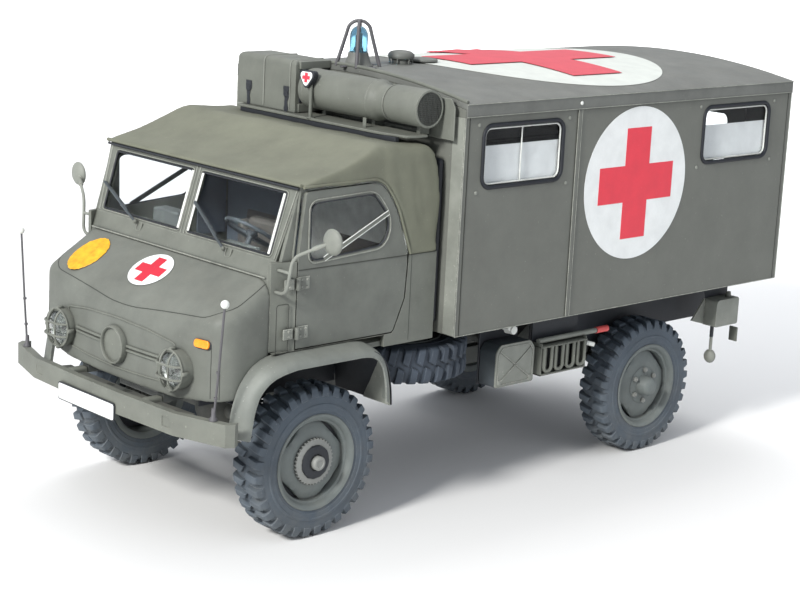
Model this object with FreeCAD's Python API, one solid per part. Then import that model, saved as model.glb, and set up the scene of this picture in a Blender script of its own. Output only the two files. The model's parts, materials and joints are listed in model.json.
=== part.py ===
import FreeCAD, Part

import math
import os

# Scale model of a military ambulance truck: 4x4 forward cab with a soft top and a box body.
# Every size is the full-size vehicle's, in millimetres; save() brings each piece to the model's scale.
# Frame: X to the vehicle's left, Y rearward from the front axle, Z up from the ground.
V = FreeCAD.Vector
SCALE = 35.0

# Fits, in model millimetres brought to full size
SHAFT_CLEARANCE = 0.05 * SCALE
THRUST_CLEARANCE = 0.1 * SCALE
PANEL_GAP = 0.25 * SCALE
LID_GAP = 0.12 * SCALE

# Running gear
WHEELBASE = 2900.0
TRACK = 1630.0
TYRE_RADIUS = 448.0
TYRE_WIDTH = 216.0
RIM_RADIUS = 262.0
RIM_WIDTH = 188.0
RIM_WALL = 20.0
FLANGE_RADIUS = 283.0
FLANGE_WIDTH = 12.0
HUB_HOLE = 110.0
SPINDLE_RADIUS = 45.0
SPINDLE_END = 53.0
PORTAL_TOP_RADIUS = 95.0
PORTAL_LOW_RADIUS = 115.0
PORTAL_CLEAR = 35.0         # gap between the gear case and the rim around it
PORTAL_DROP = RIM_RADIUS - RIM_WALL - PORTAL_TOP_RADIUS - PORTAL_CLEAR
AXLE_HEIGHT = TYRE_RADIUS + PORTAL_DROP
AXLE_TUBE_RADIUS = 52.0
DIFF_RADIUS = 140.0
TORQUE_TUBE_RADIUS = 45.0
TORQUE_TUBE_HEIGHT = AXLE_HEIGHT + 40
PORTAL_INNER = 700.0
PORTAL_OUTER = 790.0
KINGPIN_X = 590.0
KINGPIN_RADIUS = 20.0
KING_BOSS_RADIUS = 42.0
EAR_THICKNESS = 42.0
KING_BOSS_HALF = 82.0
ARM_PIN_Y = -230.0      # the pins stand straight ahead of the kingpins, so the linkage is a parallelogram
ARM_PIN_RADIUS = 10.0
ARM_TOP = AXLE_HEIGHT - 90
TIE_EYE_RADIUS = 24.0
TIE_ROD_RADIUS = 13.0

# Chassis
RAIL_INNER = 345.0
RAIL_OUTER = 405.0
RAIL_DEPTH = 110.0
RAIL_HIGH_TOP = 900.0
RAIL_LOW_TOP = 770.0
REAR_OVERHANG = 1145.0      # from the rear axle to the end of the box body
CHASSIS_SHORT = 85.0        # the frame ends this far ahead of the box body's rear
RAIL_SETBACK = 17.0         # gap between the nose's inner face and the frame's front end
SPRING_RADIUS = 50.0
COUPLING_REACH = 60.0       # the tow coupling ends this far behind the box body
JAW_RADIUS = 35.0
JAW_BORE_RADIUS = 16.0
JAW_HEIGHT = 110.0
JAW_PLATE = 34.0
GEARBOX_FRONT = 560.0
GEARBOX_REAR = 1150.0

# Bumper
BUMPER_FRONT = -870.0
BUMPER_HALF = 1063.0
BUMPER_LOW = 698.0
BUMPER_HIGH = 826.0
BUMPER_WALL = 45.0
MARKER_X = 950.0
MARKER_Y = -750.0
MARKER_TOP = 1508.0

# Cab
SHEET = 28.0
CAB_HALF = 930.0
NOSE_HALF = 886.0
NOSE_LOW = 850.0
NOSE_FRONT = -745.0
NOSE_BOW = 5200.0           # radius of the front's bow, seen from above
NOSE_CORNER = 130.0
NOSE_BEND = 290.0           # radius between the upright front and the hood's slope
SHOULDER = 110.0            # radius between the hood and the sides
HOOD_REAR = -350.0
HOOD_TOP = 1545.0
HOOD_FALL = 0.612           # drop of the hood for each millimetre forward
LID_HALF = 775.0
LID_FRONT = -690.0
LID_FRONT_SIDE = -655.0
LID_CORNER = 110.0
LID_LOW = 1230.0
COWL_CORNER = 24.0
SCUTTLE_TOP = 1640.0
SCUTTLE_FRONT = -299.0
DOOR_FRONT = -195.0
DOOR_LOW = 1146.0
BELT = 1590.0
DOOR_TOP = 2034.0
FLOOR_LOW = 1065.0
CAB_REAR = 860.0
SCREEN_LOW_HALF = 862.0
SCREEN_HIGH_HALF = 906.0
SCREEN_TOP = 2046.0
SCREEN_TOP_Y = -174.0
CANVAS_HALF = 938.0
CANVAS_CREST_Y = 385.0
CANVAS_CREST = 2250.0
CANVAS_EAVES = 2175.0
CANVAS_HEADER_Y = -188.0
CANVAS_FOOT = 12.0          # gap between the soft top's edges and the door under them
GLASS = 12.0
FIREWALL = 25.0
FENDER_OUTER = 1055.0
FENDER_TIP = 1008.0
FENDER_CLEAR = 1.0
HINGE_PIN_X = 946.0
HINGE_RADIUS = 14.0
HINGE_HEIGHTS = (1238.0, 1518.0)
MIRROR_TURN = 18.0
MIRROR_CENTRE = (1203.0, -211.0, 1805.0)
MIRROR_RADIUS = 78.0
LAMP_X = 573.0
LAMP_Z = 1028.0
LAMP_RADIUS = 135.0

# Box body
WALL = 35.0
BOX_HALF = 1060.0
BOX_FRONT = CAB_REAR + 52
BOX_REAR = WHEELBASE + REAR_OVERHANG
BOX_LOW = 1087.0
BOX_EAVES = 2466.0
ROOF_RISE = 101.0
BOX_CROWN = BOX_EAVES + ROOF_RISE
RAIN_RAIL_LOW = BOX_EAVES - 81
RAIN_RAIL_OUT = 10.0
WINDOW_LOW = 1970.0
WINDOW_HIGH = 2326.0
FRONT_WINDOW = (1073.0, 1745.0)
REAR_WINDOW = (BOX_REAR - 931, BOX_REAR - 245)
WINDOW_CORNER = 60.0
REAR_OPENING_HALF = 720.0
REAR_OPENING_LOW = 1180.0
REAR_OPENING_HIGH = 2330.0
REAR_PANE = (200.0, 560.0, 1760.0, 2180.0)
REAR_HINGE_Y = BOX_REAR + 12
REAR_HINGE_RADIUS = 9.0
REAR_HINGE_HEIGHTS = (1330.0, 2180.0)
SUBFRAME_LOW = 1010.0
SUBFRAME_TOP = 1050.0

# Spare wheel, lying flat on the left of the chassis
SPARE_X = 500.0
SPARE_Y = 955.0
SPARE_Z = 888.0

# Roof equipment
TRAY_Z = 2258.0
STOWAGE_TOP = 2596.0
DRUM_Y = 745.0
DRUM_Z = 2430.0
DRUM_RADIUS = 118.0
DRUM_NECK_RADIUS = 104.0
DRUM_MOUTH_RADIUS = 96.0
BEACON_Y = 1010.0
BEACON_TOP = 2848.0

CHASSIS_FRONT = NOSE_FRONT + SHEET + RAIL_SETBACK
CHASSIS_REAR = BOX_REAR - CHASSIS_SHORT
COUPLING_END = BOX_REAR + COUPLING_REACH
FRAME_Y = (BUMPER_FRONT + COUPLING_END) / 2


os.makedirs("parts", exist_ok=True)


def box(x0, x1, y0, y1, z0, z1):
    return Part.makeBox(x1 - x0, y1 - y0, z1 - z0, V(x0, y0, z0))


def rod(start, end, radius):
    start, end = V(*start), V(*end)
    return Part.makeCylinder(radius, (end - start).Length, start, end - start)


def ball(centre, radius):
    return Part.makeSphere(radius, V(*centre))


def fuse(*shapes):
    return shapes[0].fuse(list(shapes[1:])).removeSplitter()


def group(*shapes):
    return Part.makeCompound(list(shapes))


def mirrored(shape):
    return shape.mirror(V(0, 0, 0), V(1, 0, 0))


def pair(shape):
    return group(shape, mirrored(shape))


def corner_arc(before, corner, after, radius):
    """Start, middle and end of the arc that rounds a corner."""
    back, ahead = (before - corner).normalize(), (after - corner).normalize()
    half = back.getAngle(ahead) / 2
    reach = radius / math.tan(half)
    middle = corner + (back + ahead).normalize() * (radius / math.sin(half) - radius)
    return corner + back * reach, middle, corner + ahead * reach


def rounded_wire(points, radius):
    """Closed wire through the points, each corner rounded to the radius."""
    count = len(points)
    arcs = [corner_arc(points[i - 1], points[i], points[(i + 1) % count], radius) for i in range(count)]
    edges = []
    for i, (start, middle, end) in enumerate(arcs):
        edges.append(Part.Arc(start, middle, end).toShape())
        edges.append(Part.LineSegment(end, arcs[(i + 1) % count][0]).toShape())
    return Part.Wire(edges)


def prism(axis, outline, low, high, radius=0.0):
    """Outline of two-number points, in the plane across the axis, pushed from low to high."""
    place = {"x": lambda a, b: V(low, a, b), "y": lambda a, b: V(a, low, b), "z": lambda a, b: V(a, b, low)}
    push = {"x": V(high - low, 0, 0), "y": V(0, high - low, 0), "z": V(0, 0, high - low)}
    points = [place[axis](a, b) for a, b in outline]
    if radius:
        wire = rounded_wire(points, radius)
    else:
        wire = Part.makePolygon(points + [points[0]])
    return Part.Face(wire).extrude(push[axis])


def bent_tube(points, radius, bend):
    """Round bar through the points, with arcs of the bend radius at its corners."""
    points = [V(*point) for point in points]
    edges, start = [], points[0]
    for before, corner, after in zip(points, points[1:], points[2:]):
        first, middle, last = corner_arc(before, corner, after, bend)
        edges += [Part.LineSegment(start, first).toShape(), Part.Arc(first, middle, last).toShape()]
        start = last
    edges.append(Part.LineSegment(start, points[-1]).toShape())
    section = Part.Wire(Part.makeCircle(radius, points[0], points[1] - points[0]))
    return Part.Wire(edges).makePipeShell([section], True, False)


def turned(profile, centre):
    """Solid of revolution about the X direction; the profile gives (radius, offset outboard)."""
    x, y, z = centre
    points = [V(x + offset, y, z + radius) for radius, offset in profile]
    return Part.Face(Part.makePolygon(points + [points[0]])).revolve(V(x, y, z), V(1, 0, 0), 360)


def save(name, shape):
    shape = shape.copy()
    shape.translate(V(0, -FRAME_Y, 0))
    shape.scale(1 / SCALE, V(0, 0, 0))
    shape.exportStep("parts/" + name + ".step")


# ---------------------------------------------------------------- wheels

def tyre(centre):
    half, bead = TYRE_WIDTH / 2, RIM_WIDTH / 2
    side = [(RIM_RADIUS, bead), (FLANGE_RADIUS, bead), (FLANGE_RADIUS + 20, half - 6), (400, half),
            (TYRE_RADIUS - 12, half - 4), (TYRE_RADIUS, half - 20)]
    return turned(side + [(radius, -offset) for radius, offset in reversed(side)], centre)


def rim(centre, cap_radius=None):
    """Slotted disc wheel with its hub, or bare when it has no cap radius."""
    bead, inner = RIM_WIDTH / 2, RIM_RADIUS - RIM_WALL
    edge = bead + FLANGE_WIDTH
    barrel = turned([(RIM_RADIUS, -bead), (FLANGE_RADIUS, -bead), (FLANGE_RADIUS, -edge), (inner, -edge),
                     (inner, edge), (FLANGE_RADIUS, edge), (FLANGE_RADIUS, bead), (RIM_RADIUS, bead)], centre)
    disc = turned([(HUB_HOLE, 30), (195, 30), (inner + 4, 0), (inner + 4, 24), (205, 56), (HUB_HOLE, 56)],
                  centre)
    wheel = fuse(barrel, disc)
    x, y, z = centre
    slot_radius, slot_length, slot_height = 178, 74, 26
    for quarter in range(4):
        slot = box(x - 10, x + 90, y - slot_length / 2, y + slot_length / 2,
                   z + slot_radius - slot_height / 2, z + slot_radius + slot_height / 2)
        slot.rotate(V(x, y, z), V(1, 0, 0), 45 + 90 * quarter)
        wheel = wheel.cut(slot)
    if cap_radius is None:
        return wheel
    hub = turned([(0, -22), (85, -22), (85, 30), (HUB_HOLE, 30), (HUB_HOLE, 56), (150, 56), (135, 68),
                  (130, 92), (97, 92), (97, 112), (cap_radius, 112), (cap_radius, 162), (0, 162)], centre)
    wheel = fuse(wheel, hub)
    bore_end = x + SPINDLE_END + 2 * SHAFT_CLEARANCE
    return wheel.cut(rod((x - 60, y, z), (bore_end, y, z), SPINDLE_RADIUS + SHAFT_CLEARANCE))


AXLES = (("front", 0.0, 53.0), ("rear", WHEELBASE, 64.0))     # name, Y, hub cap radius
for axle, axle_y, cap_radius in AXLES:
    hub = (TRACK / 2, axle_y, TYRE_RADIUS)
    left_tyre, left_rim = tyre(hub), rim(hub, cap_radius)
    save("tyre_" + axle + "_left", left_tyre)
    save("tyre_" + axle + "_right", mirrored(left_tyre))
    save("rim_" + axle + "_left", left_rim)
    save("rim_" + axle + "_right", mirrored(left_rim))

spare = fuse(tyre((0, 0, 0)), rim((0, 0, 0)))
spare.rotate(V(0, 0, 0), V(0, 1, 0), -90)
spare.translate(V(SPARE_X, SPARE_Y, SPARE_Z))
save("spare_wheel", spare)


# ---------------------------------------------------------------- axles and steering

def portal_housing(axle_y):
    """Left gear case that drops from the axle tube to the hub, with the wheel's spindle."""
    half, tip = PORTAL_TOP_RADIUS, TRACK / 2 + SPINDLE_END
    return fuse(
        rod((PORTAL_INNER, axle_y, AXLE_HEIGHT), (PORTAL_OUTER, axle_y, AXLE_HEIGHT), PORTAL_TOP_RADIUS),
        rod((PORTAL_INNER, axle_y, TYRE_RADIUS), (PORTAL_OUTER, axle_y, TYRE_RADIUS), PORTAL_LOW_RADIUS),
        box(PORTAL_INNER, PORTAL_OUTER, axle_y - half, axle_y + half, TYRE_RADIUS, AXLE_HEIGHT),
        rod((PORTAL_OUTER, axle_y, TYRE_RADIUS), (tip, axle_y, TYRE_RADIUS), SPINDLE_RADIUS))


SPRING_X = (RAIL_INNER + RAIL_OUTER) / 2
PAD_TOP = AXLE_HEIGHT + AXLE_TUBE_RADIUS + 20


def beam(axle_y, half_length):
    """Axle tube with its differential and the spring pads."""
    pad = box(SPRING_X - 55, SPRING_X + 55, axle_y - 55, axle_y + 55, AXLE_HEIGHT, PAD_TOP)
    lug = box(430, 470, axle_y - 135, axle_y + 135, AXLE_HEIGHT - 20, AXLE_HEIGHT + 20)
    tube = rod((-half_length, axle_y, AXLE_HEIGHT), (half_length, axle_y, AXLE_HEIGHT), AXLE_TUBE_RADIUS)
    return fuse(tube, ball((0, axle_y, AXLE_HEIGHT), DIFF_RADIUS), pad, mirrored(pad), lug, mirrored(lug))


ear_gap = KING_BOSS_HALF + THRUST_CLEARANCE
pin_half = ear_gap + EAR_THICKNESS
boss = fuse(
    rod((KINGPIN_X, 0, AXLE_HEIGHT - KING_BOSS_HALF), (KINGPIN_X, 0, AXLE_HEIGHT + KING_BOSS_HALF),
        KING_BOSS_RADIUS),
    rod((KINGPIN_X, 0, AXLE_HEIGHT - pin_half), (KINGPIN_X, 0, AXLE_HEIGHT + pin_half), KINGPIN_RADIUS))
front_tube = rod((0, 0, TORQUE_TUBE_HEIGHT), (0, GEARBOX_FRONT, TORQUE_TUBE_HEIGHT), TORQUE_TUBE_RADIUS)
save("front_axle", fuse(beam(0.0, KINGPIN_X), boss, mirrored(boss), front_tube))

rear_tube = rod((0, GEARBOX_REAR, TORQUE_TUBE_HEIGHT), (0, WHEELBASE, TORQUE_TUBE_HEIGHT),
                TORQUE_TUBE_RADIUS)
rear_case = portal_housing(WHEELBASE)
save("rear_axle", fuse(beam(WHEELBASE, PORTAL_INNER), rear_case, mirrored(rear_case), rear_tube))

ears = [box(KINGPIN_X - 42, PORTAL_INNER, -50, 50, low, low + EAR_THICKNESS)
        for low in (AXLE_HEIGHT - pin_half, AXLE_HEIGHT + ear_gap)]
web = box(PORTAL_INNER - 50, PORTAL_INNER, -70, 70, AXLE_HEIGHT - pin_half, AXLE_HEIGHT + pin_half)
kingpin_bore = rod((KINGPIN_X, 0, 0), (KINGPIN_X, 0, 2 * AXLE_HEIGHT), KINGPIN_RADIUS + SHAFT_CLEARANCE)
arm_front = ARM_PIN_Y - 22
arm = prism("z", [(650, -60), (PORTAL_INNER, -60), (KINGPIN_X + 25, arm_front), (KINGPIN_X - 25, arm_front)],
            ARM_TOP - 30, ARM_TOP)
arm_pin = rod((KINGPIN_X, ARM_PIN_Y, ARM_TOP), (KINGPIN_X, ARM_PIN_Y, ARM_TOP + 50), ARM_PIN_RADIUS)
knuckle = fuse(*ears, web, portal_housing(0.0)).cut(kingpin_bore)
knuckle = fuse(knuckle, arm, arm_pin)
save("knuckle_left", knuckle)
save("knuckle_right", mirrored(knuckle))

eye_low = ARM_TOP + THRUST_CLEARANCE
eye = rod((KINGPIN_X, ARM_PIN_Y, eye_low), (KINGPIN_X, ARM_PIN_Y, eye_low + 36), TIE_EYE_RADIUS)
eye_bore = rod((KINGPIN_X, ARM_PIN_Y, eye_low - 1), (KINGPIN_X, ARM_PIN_Y, eye_low + 60),
               ARM_PIN_RADIUS + SHAFT_CLEARANCE)
bar_end = KINGPIN_X - TIE_EYE_RADIUS + 4
bar = rod((-bar_end, ARM_PIN_Y, eye_low + 18), (bar_end, ARM_PIN_Y, eye_low + 18), TIE_ROD_RADIUS)
save("tie_rod", fuse(bar, eye, mirrored(eye)).cut(group(eye_bore, mirrored(eye_bore))))

rail_low = RAIL_HIGH_TOP - RAIL_DEPTH
springs = []
dampers = []
for axle_y in (0.0, WHEELBASE):
    springs.append(pair(rod((SPRING_X, axle_y, PAD_TOP), (SPRING_X, axle_y, rail_low), SPRING_RADIUS)))
    for side in (-1, 1):
        foot = (450, axle_y + side * 115, AXLE_HEIGHT + 20)
        head = (450, axle_y + side * 135, RAIL_HIGH_TOP - 30)
        ear = box(RAIL_OUTER, 470, head[1] - 20, head[1] + 20, head[2], head[2] + 30)
        body = rod((450, head[1] - side * 7, 740), head, 22)
        dampers.append(pair(fuse(rod(foot, head, 13), body, ear)))
save("coil_springs", group(*springs))
save("dampers", group(*dampers))

# ---------------------------------------------------------------- chassis

kick_up = WHEELBASE - 750       # where the rails start to rise over the rear axle
rail_dip = RAIL_LOW_TOP - RAIL_DEPTH
rail = prism("x", [(CHASSIS_FRONT, RAIL_HIGH_TOP), (330, RAIL_HIGH_TOP), (480, RAIL_LOW_TOP),
                   (kick_up, RAIL_LOW_TOP), (kick_up + 180, RAIL_HIGH_TOP), (CHASSIS_REAR, RAIL_HIGH_TOP),
                   (CHASSIS_REAR, rail_low), (kick_up + 220, rail_low), (kick_up + 40, rail_dip),
                   (440, rail_dip), (290, rail_low), (CHASSIS_FRONT, rail_low)],
             RAIL_INNER, RAIL_OUTER)
high_z, low_z = RAIL_HIGH_TOP - RAIL_DEPTH / 2, RAIL_LOW_TOP - RAIL_DEPTH / 2
members = [(CHASSIS_FRONT + 50, high_z), (1500, low_z), (kick_up - 50, low_z), (WHEELBASE + 550, high_z),
           (CHASSIS_REAR - 35, high_z)]     # Y, Z of each cross tube
tubes = [rod((-RAIL_INNER, y, z), (RAIL_INNER, y, z), 32) for y, z in members]
save("chassis_frame", fuse(rail, mirrored(rail), *tubes))

member_y, member_z = members[-1]
jaw_y = COUPLING_END - JAW_RADIUS
jaw_low, jaw_high = member_z - JAW_HEIGHT / 2, member_z + JAW_HEIGHT / 2
plates = [fuse(rod((0, jaw_y, z), (0, jaw_y, z + JAW_PLATE), JAW_RADIUS),
               box(-JAW_RADIUS, JAW_RADIUS, CHASSIS_REAR + 30, jaw_y, z, z + JAW_PLATE))
          for z in (jaw_low, jaw_high - JAW_PLATE)]
jaw = fuse(box(-60, 60, member_y + 32, CHASSIS_REAR + 32, jaw_low, jaw_high), *plates)
save("tow_coupling", jaw.cut(rod((0, jaw_y, 0), (0, jaw_y, 2000), JAW_BORE_RADIUS)))

engine = box(-230, 230, -560, 300, 730, 1040)
bell = box(-170, 170, 300, 470, 700, 1020)
gearbox = fuse(box(-150, 150, 470, GEARBOX_FRONT, 665, 765),
               box(-150, 150, GEARBOX_FRONT, GEARBOX_REAR, 540, 765))
save("engine_gearbox", fuse(engine, bell, gearbox))

front_line = [(-BUMPER_HALF, -705), (-1035, -752), (-700, -850), (-200, BUMPER_FRONT),
              (200, BUMPER_FRONT), (700, -850), (1035, -752), (BUMPER_HALF, -705)]
back_line = [(x * 0.97, y + BUMPER_WALL) for x, y in reversed(front_line)]
bumper = prism("z", front_line + back_line, BUMPER_LOW, BUMPER_HIGH)
recess = box(600, 674, -900, -848, BUMPER_LOW + 35, BUMPER_HIGH - 35)
bracket = box(RAIL_INNER, RAIL_OUTER, -812, CHASSIS_FRONT, BUMPER_LOW + 60, BUMPER_HIGH)
save("bumper", fuse(bumper.cut(pair(recess)), bracket, mirrored(bracket)))

marker = fuse(rod((MARKER_X, MARKER_Y, BUMPER_HIGH), (MARKER_X, MARKER_Y, MARKER_TOP), 7),
              rod((MARKER_X, MARKER_Y, BUMPER_HIGH), (MARKER_X, MARKER_Y, BUMPER_HIGH + 25), 16),
              ball((MARKER_X, MARKER_Y, MARKER_TOP), 22))
save("width_markers", pair(marker))

# ---------------------------------------------------------------- nose and bonnet

def closed_wire(start, *steps):
    """Closed wire from the start: a step of one point is a line, a step of two an arc through its first."""
    edges, here = [], start
    for step in steps + ((start,),):
        if len(step) == 2:
            edges.append(Part.Arc(here, *step).toShape())
        else:
            edges.append(Part.LineSegment(here, *step).toShape())
        here = step[-1]
    return Part.Wire(edges)


def shoulder_wire(y, half, top, radius, low):
    """Outline across the vehicle: upright sides, a flat top, and rounded shoulders between them."""
    bend = radius * (1 - math.sqrt(0.5))
    return closed_wire(V(half, y, low), (V(half, y, top - radius),),
                       (V(half - bend, y, top - bend), V(half - radius, y, top)), (V(radius - half, y, top),),
                       (V(bend - half, y, top - bend), V(-half, y, top - radius)), (V(-half, y, low),))


def nose_plan(inset):
    """Outline from above: straight sides, rounded corners and a bowed front."""
    half, front = NOSE_HALF - inset, NOSE_FRONT + inset
    corner, bow = NOSE_CORNER - inset, NOSE_BOW - inset
    centre = V(half - corner, front + bow - math.sqrt((bow - corner) ** 2 - (half - corner) ** 2), 0)
    touch = V(0, front + bow, 0)
    touch = touch + (centre - touch).normalize() * bow
    turn = (V(1, 0, 0) + (touch - centre).normalize()).normalize()
    side, middle = centre + V(corner, 0, 0), centre + turn * corner
    flip = [V(-point.x, point.y, 0) for point in (touch, middle, side)]
    return closed_wire(V(half, 0, 0), (side,), (middle, touch), (V(0, front, 0), flip[0]),
                       (flip[1], flip[2]), (V(-half, 0, 0),))


def nose_body(inset):
    """Nose and hood as one volume, every face moved inward by the inset."""
    low = NOSE_LOW - 2 * inset
    drop = inset * math.hypot(1, HOOD_FALL)
    rear = V(-NOSE_HALF - 1, 0, HOOD_TOP - drop - HOOD_FALL * HOOD_REAR)
    corner = V(rear.x, NOSE_FRONT + inset, rear.z + HOOD_FALL * (NOSE_FRONT + inset))
    foot = V(rear.x, corner.y, low)
    first, middle, last = corner_arc(rear, corner, foot, NOSE_BEND - inset)
    side = Part.Face(closed_wire(rear, (first,), (middle, last), (foot,), (V(rear.x, 0, low),)))
    shoulders = Part.Face(shoulder_wire(0, NOSE_HALF - inset, rear.z, SHOULDER - inset, low - 1200))
    plan = Part.Face(nose_plan(inset))
    plan.translate(V(0, 0, low))
    body = plan.extrude(V(0, 0, 2000)).common(side.extrude(V(2 * NOSE_HALF + 2, 0, 0)))
    return body.common(shoulders.extrude(V(0, -1000, -1000 * HOOD_FALL)))


EMBLEM_Z, EMBLEM_RADIUS = 1045.0, 118.0
FOOT_RISE_FROM, FOOT_RISE = 520.0, 45.0     # the lower edge rises from here out to the corners
BAR_INNER, BAR_OUTER, BAR_RADIUS = 104.0, 400.0, 10.0
ARCH_OUTLINE = [(-600, 600), (-560, 860), (-500, 985), (-420, 1060), (-336, 1089), (-250, 1094),
                (-200, 1094), (-200, 600)]

ahead = box(-NOSE_HALF, NOSE_HALF, 2 * NOSE_FRONT, HOOD_REAR, 0, 2 * HOOD_TOP)
shell = nose_body(0.0).cut(nose_body(SHEET)).common(ahead)
lid_outline = [(-LID_HALF, 300), (-LID_HALF, LID_FRONT_SIDE), (0, LID_FRONT), (LID_HALF, LID_FRONT_SIDE),
               (LID_HALF, 300)]
opening_outline = [(x + math.copysign(LID_GAP, x) * (x != 0), y - LID_GAP) for x, y in lid_outline]
save("bonnet", shell.common(prism("z", lid_outline, LID_LOW, HOOD_TOP + 100, radius=LID_CORNER)))
nose = shell.cut(prism("z", opening_outline, LID_LOW - LID_GAP, HOOD_TOP + 100, radius=LID_CORNER))
nose = nose.cut(pair(prism("x", ARCH_OUTLINE, NOSE_HALF - NOSE_CORNER, NOSE_HALF + 100)))
lamp_hole = rod((LAMP_X, NOSE_FRONT - 100, LAMP_Z), (LAMP_X, NOSE_FRONT + 150, LAMP_Z), LAMP_RADIUS + 1)
nose = nose.cut(pair(lamp_hole))
rise = prism("y", [(FOOT_RISE_FROM, 0), (FOOT_RISE_FROM, NOSE_LOW), (NOSE_HALF + 1, NOSE_LOW + FOOT_RISE),
                   (NOSE_HALF + 1, 0)], 2 * NOSE_FRONT, HOOD_REAR)
nose = nose.cut(pair(rise))
badge = rod((0, NOSE_FRONT - 34, EMBLEM_Z), (0, NOSE_FRONT + 8, EMBLEM_Z), EMBLEM_RADIUS)
bars = []
for step in (-10, 14):
    strip = rod((BAR_INNER, NOSE_FRONT - 12, EMBLEM_Z + step), (BAR_OUTER, NOSE_FRONT - 2, EMBLEM_Z + step),
                BAR_RADIUS)
    tail = box(BAR_OUTER - 20, BAR_OUTER, NOSE_FRONT - 4, NOSE_FRONT + 24, EMBLEM_Z + step - 8,
               EMBLEM_Z + step + 8)
    bars += [fuse(strip, tail), mirrored(fuse(strip, tail))]
save("nose_panel", fuse(nose, badge, *bars))

lamp = fuse(rod((LAMP_X, NOSE_FRONT - 14, LAMP_Z), (LAMP_X, NOSE_FRONT + 80, LAMP_Z), LAMP_RADIUS),
            rod((LAMP_X, NOSE_FRONT - 24, LAMP_Z), (LAMP_X, NOSE_FRONT - 14, LAMP_Z), LAMP_RADIUS - 25))
save("headlights", pair(lamp))

# Fender arch, seen from the side: (Y, Z) of its outer and its inner edge
ARCH_OUTER = [(-622, 704), (-590, 900), (-520, 1030), (-420, 1105), (-300, 1132), (250, 1132), (350, 1105),
              (420, 1030), (458, 900), (468, 776)]
ARCH_INNER = [(-600, 704), (-568, 880), (-500, 985), (-410, 1060), (-300, 1094), (230, 1094), (327, 1062),
              (390, 985), (425, 890), (437, 776)]
skin = NOSE_HALF + FENDER_CLEAR
fender = prism("x", ARCH_OUTER + ARCH_INNER[::-1], skin, FENDER_OUTER)
fender_top = prism("y", [(skin, 600), (FENDER_OUTER, 600), (FENDER_OUTER, 1098), (CAB_HALF, 1135),
                         (skin, 1135)], -700, 600)
fender_plan = prism("z", [(skin, -700), (FENDER_TIP, -700), (FENDER_TIP + 12, -560), (FENDER_OUTER, -360),
                          (FENDER_OUTER, 600), (skin, 600)], 600, 1200)
behind = box(0, CAB_HALF, 300, 600, 0, FLOOR_LOW + 70)
save("front_fenders", pair(fender.common(fender_top).common(fender_plan).cut(behind)))

# ---------------------------------------------------------------- cab

POST_REAR = DOOR_FRONT - 8
SILL = DOOR_LOW - 8
SIDE_LOW = FLOOR_LOW + 70
front_post = prism("z", [(NOSE_HALF, HOOD_REAR), (CAB_HALF, POST_REAR), (CAB_HALF - SHEET, POST_REAR),
                         (NOSE_HALF - SHEET, HOOD_REAR)], SILL, SCUTTLE_TOP)
rear_side = prism("x", [(HOOD_REAR, SIDE_LOW), (HOOD_REAR, SILL), (530, SILL), (548, 1158), (624, 1337),
                        (640, BELT), (CAB_REAR, BELT), (CAB_REAR, FLOOR_LOW), (470, FLOOR_LOW),
                        (470, SIDE_LOW)], CAB_HALF - SHEET, CAB_HALF)


def scuttle_body(inset):
    """Cowl between the hood's rear edge and the foot of the windscreen."""
    low, half = HOOD_TOP - SHOULDER - 40, NOSE_HALF - inset
    front = shoulder_wire(HOOD_REAR, half, HOOD_TOP - inset, SHOULDER - inset / 2, low)
    rear = shoulder_wire(SCUTTLE_FRONT, half, SCUTTLE_TOP - inset, COWL_CORNER - inset / 2, low)
    return Part.makeLoft([front, rear], True, True)


scuttle = scuttle_body(0.0).cut(scuttle_body(SHEET))
scuttle_deck = box(-NOSE_HALF, NOSE_HALF, SCUTTLE_FRONT, POST_REAR, SCUTTLE_TOP - SHEET, SCUTTLE_TOP)
firewall_rear = HOOD_REAR + FIREWALL
inside = NOSE_HALF - SHEET
firewall = box(-inside, inside, HOOD_REAR, firewall_rear, FLOOR_LOW, HOOD_TOP - SHOULDER)
floor = box(-CAB_HALF + SHEET, CAB_HALF - SHEET, firewall_rear, CAB_REAR, FLOOR_LOW, FLOOR_LOW + SHEET)
hump = box(-250, 250, firewall_rear, 330, FLOOR_LOW + SHEET, 1230)
rear_wall = box(-CAB_HALF, CAB_HALF, CAB_REAR - SHEET, CAB_REAR, FLOOR_LOW, BELT)
arch_cut = pair(box(NOSE_HALF, CAB_HALF + 1, HOOD_REAR - 70, 302, 0, SILL - 2))
save("cab_tub", fuse(front_post, mirrored(front_post), rear_side, mirrored(rear_side), scuttle, scuttle_deck,
                     firewall, floor, hump, rear_wall).cut(arch_cut))


def screen_slab(front, rear):
    """Slanted slab of the windscreen, between two depths behind its front face."""
    return prism("x", [(SCUTTLE_FRONT + front, SCUTTLE_TOP), (SCREEN_TOP_Y + front, SCREEN_TOP),
                       (SCREEN_TOP_Y + rear, SCREEN_TOP), (SCUTTLE_FRONT + rear, SCUTTLE_TOP)], -1000, 1000)


SCREEN_FRAME, SCREEN_GLASS_DEPTH = 30.0, 10.0
screen_shape = prism("y", [(-SCREEN_LOW_HALF, SCUTTLE_TOP), (SCREEN_LOW_HALF, SCUTTLE_TOP),
                           (SCREEN_HIGH_HALF, SCREEN_TOP), (-SCREEN_HIGH_HALF, SCREEN_TOP)], -400, 0)
pane = prism("y", [(42, SCUTTLE_TOP + 24), (805, SCUTTLE_TOP + 24), (812, SCREEN_TOP - 44),
                   (42, SCREEN_TOP - 44)], -400, 0, radius=18)
save("windscreen_frame", screen_slab(0, SCREEN_FRAME).common(screen_shape).cut(pair(pane)))
save("windscreen_glass", screen_slab(SCREEN_GLASS_DEPTH, SCREEN_GLASS_DEPTH + GLASS).common(pair(pane)))

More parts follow.
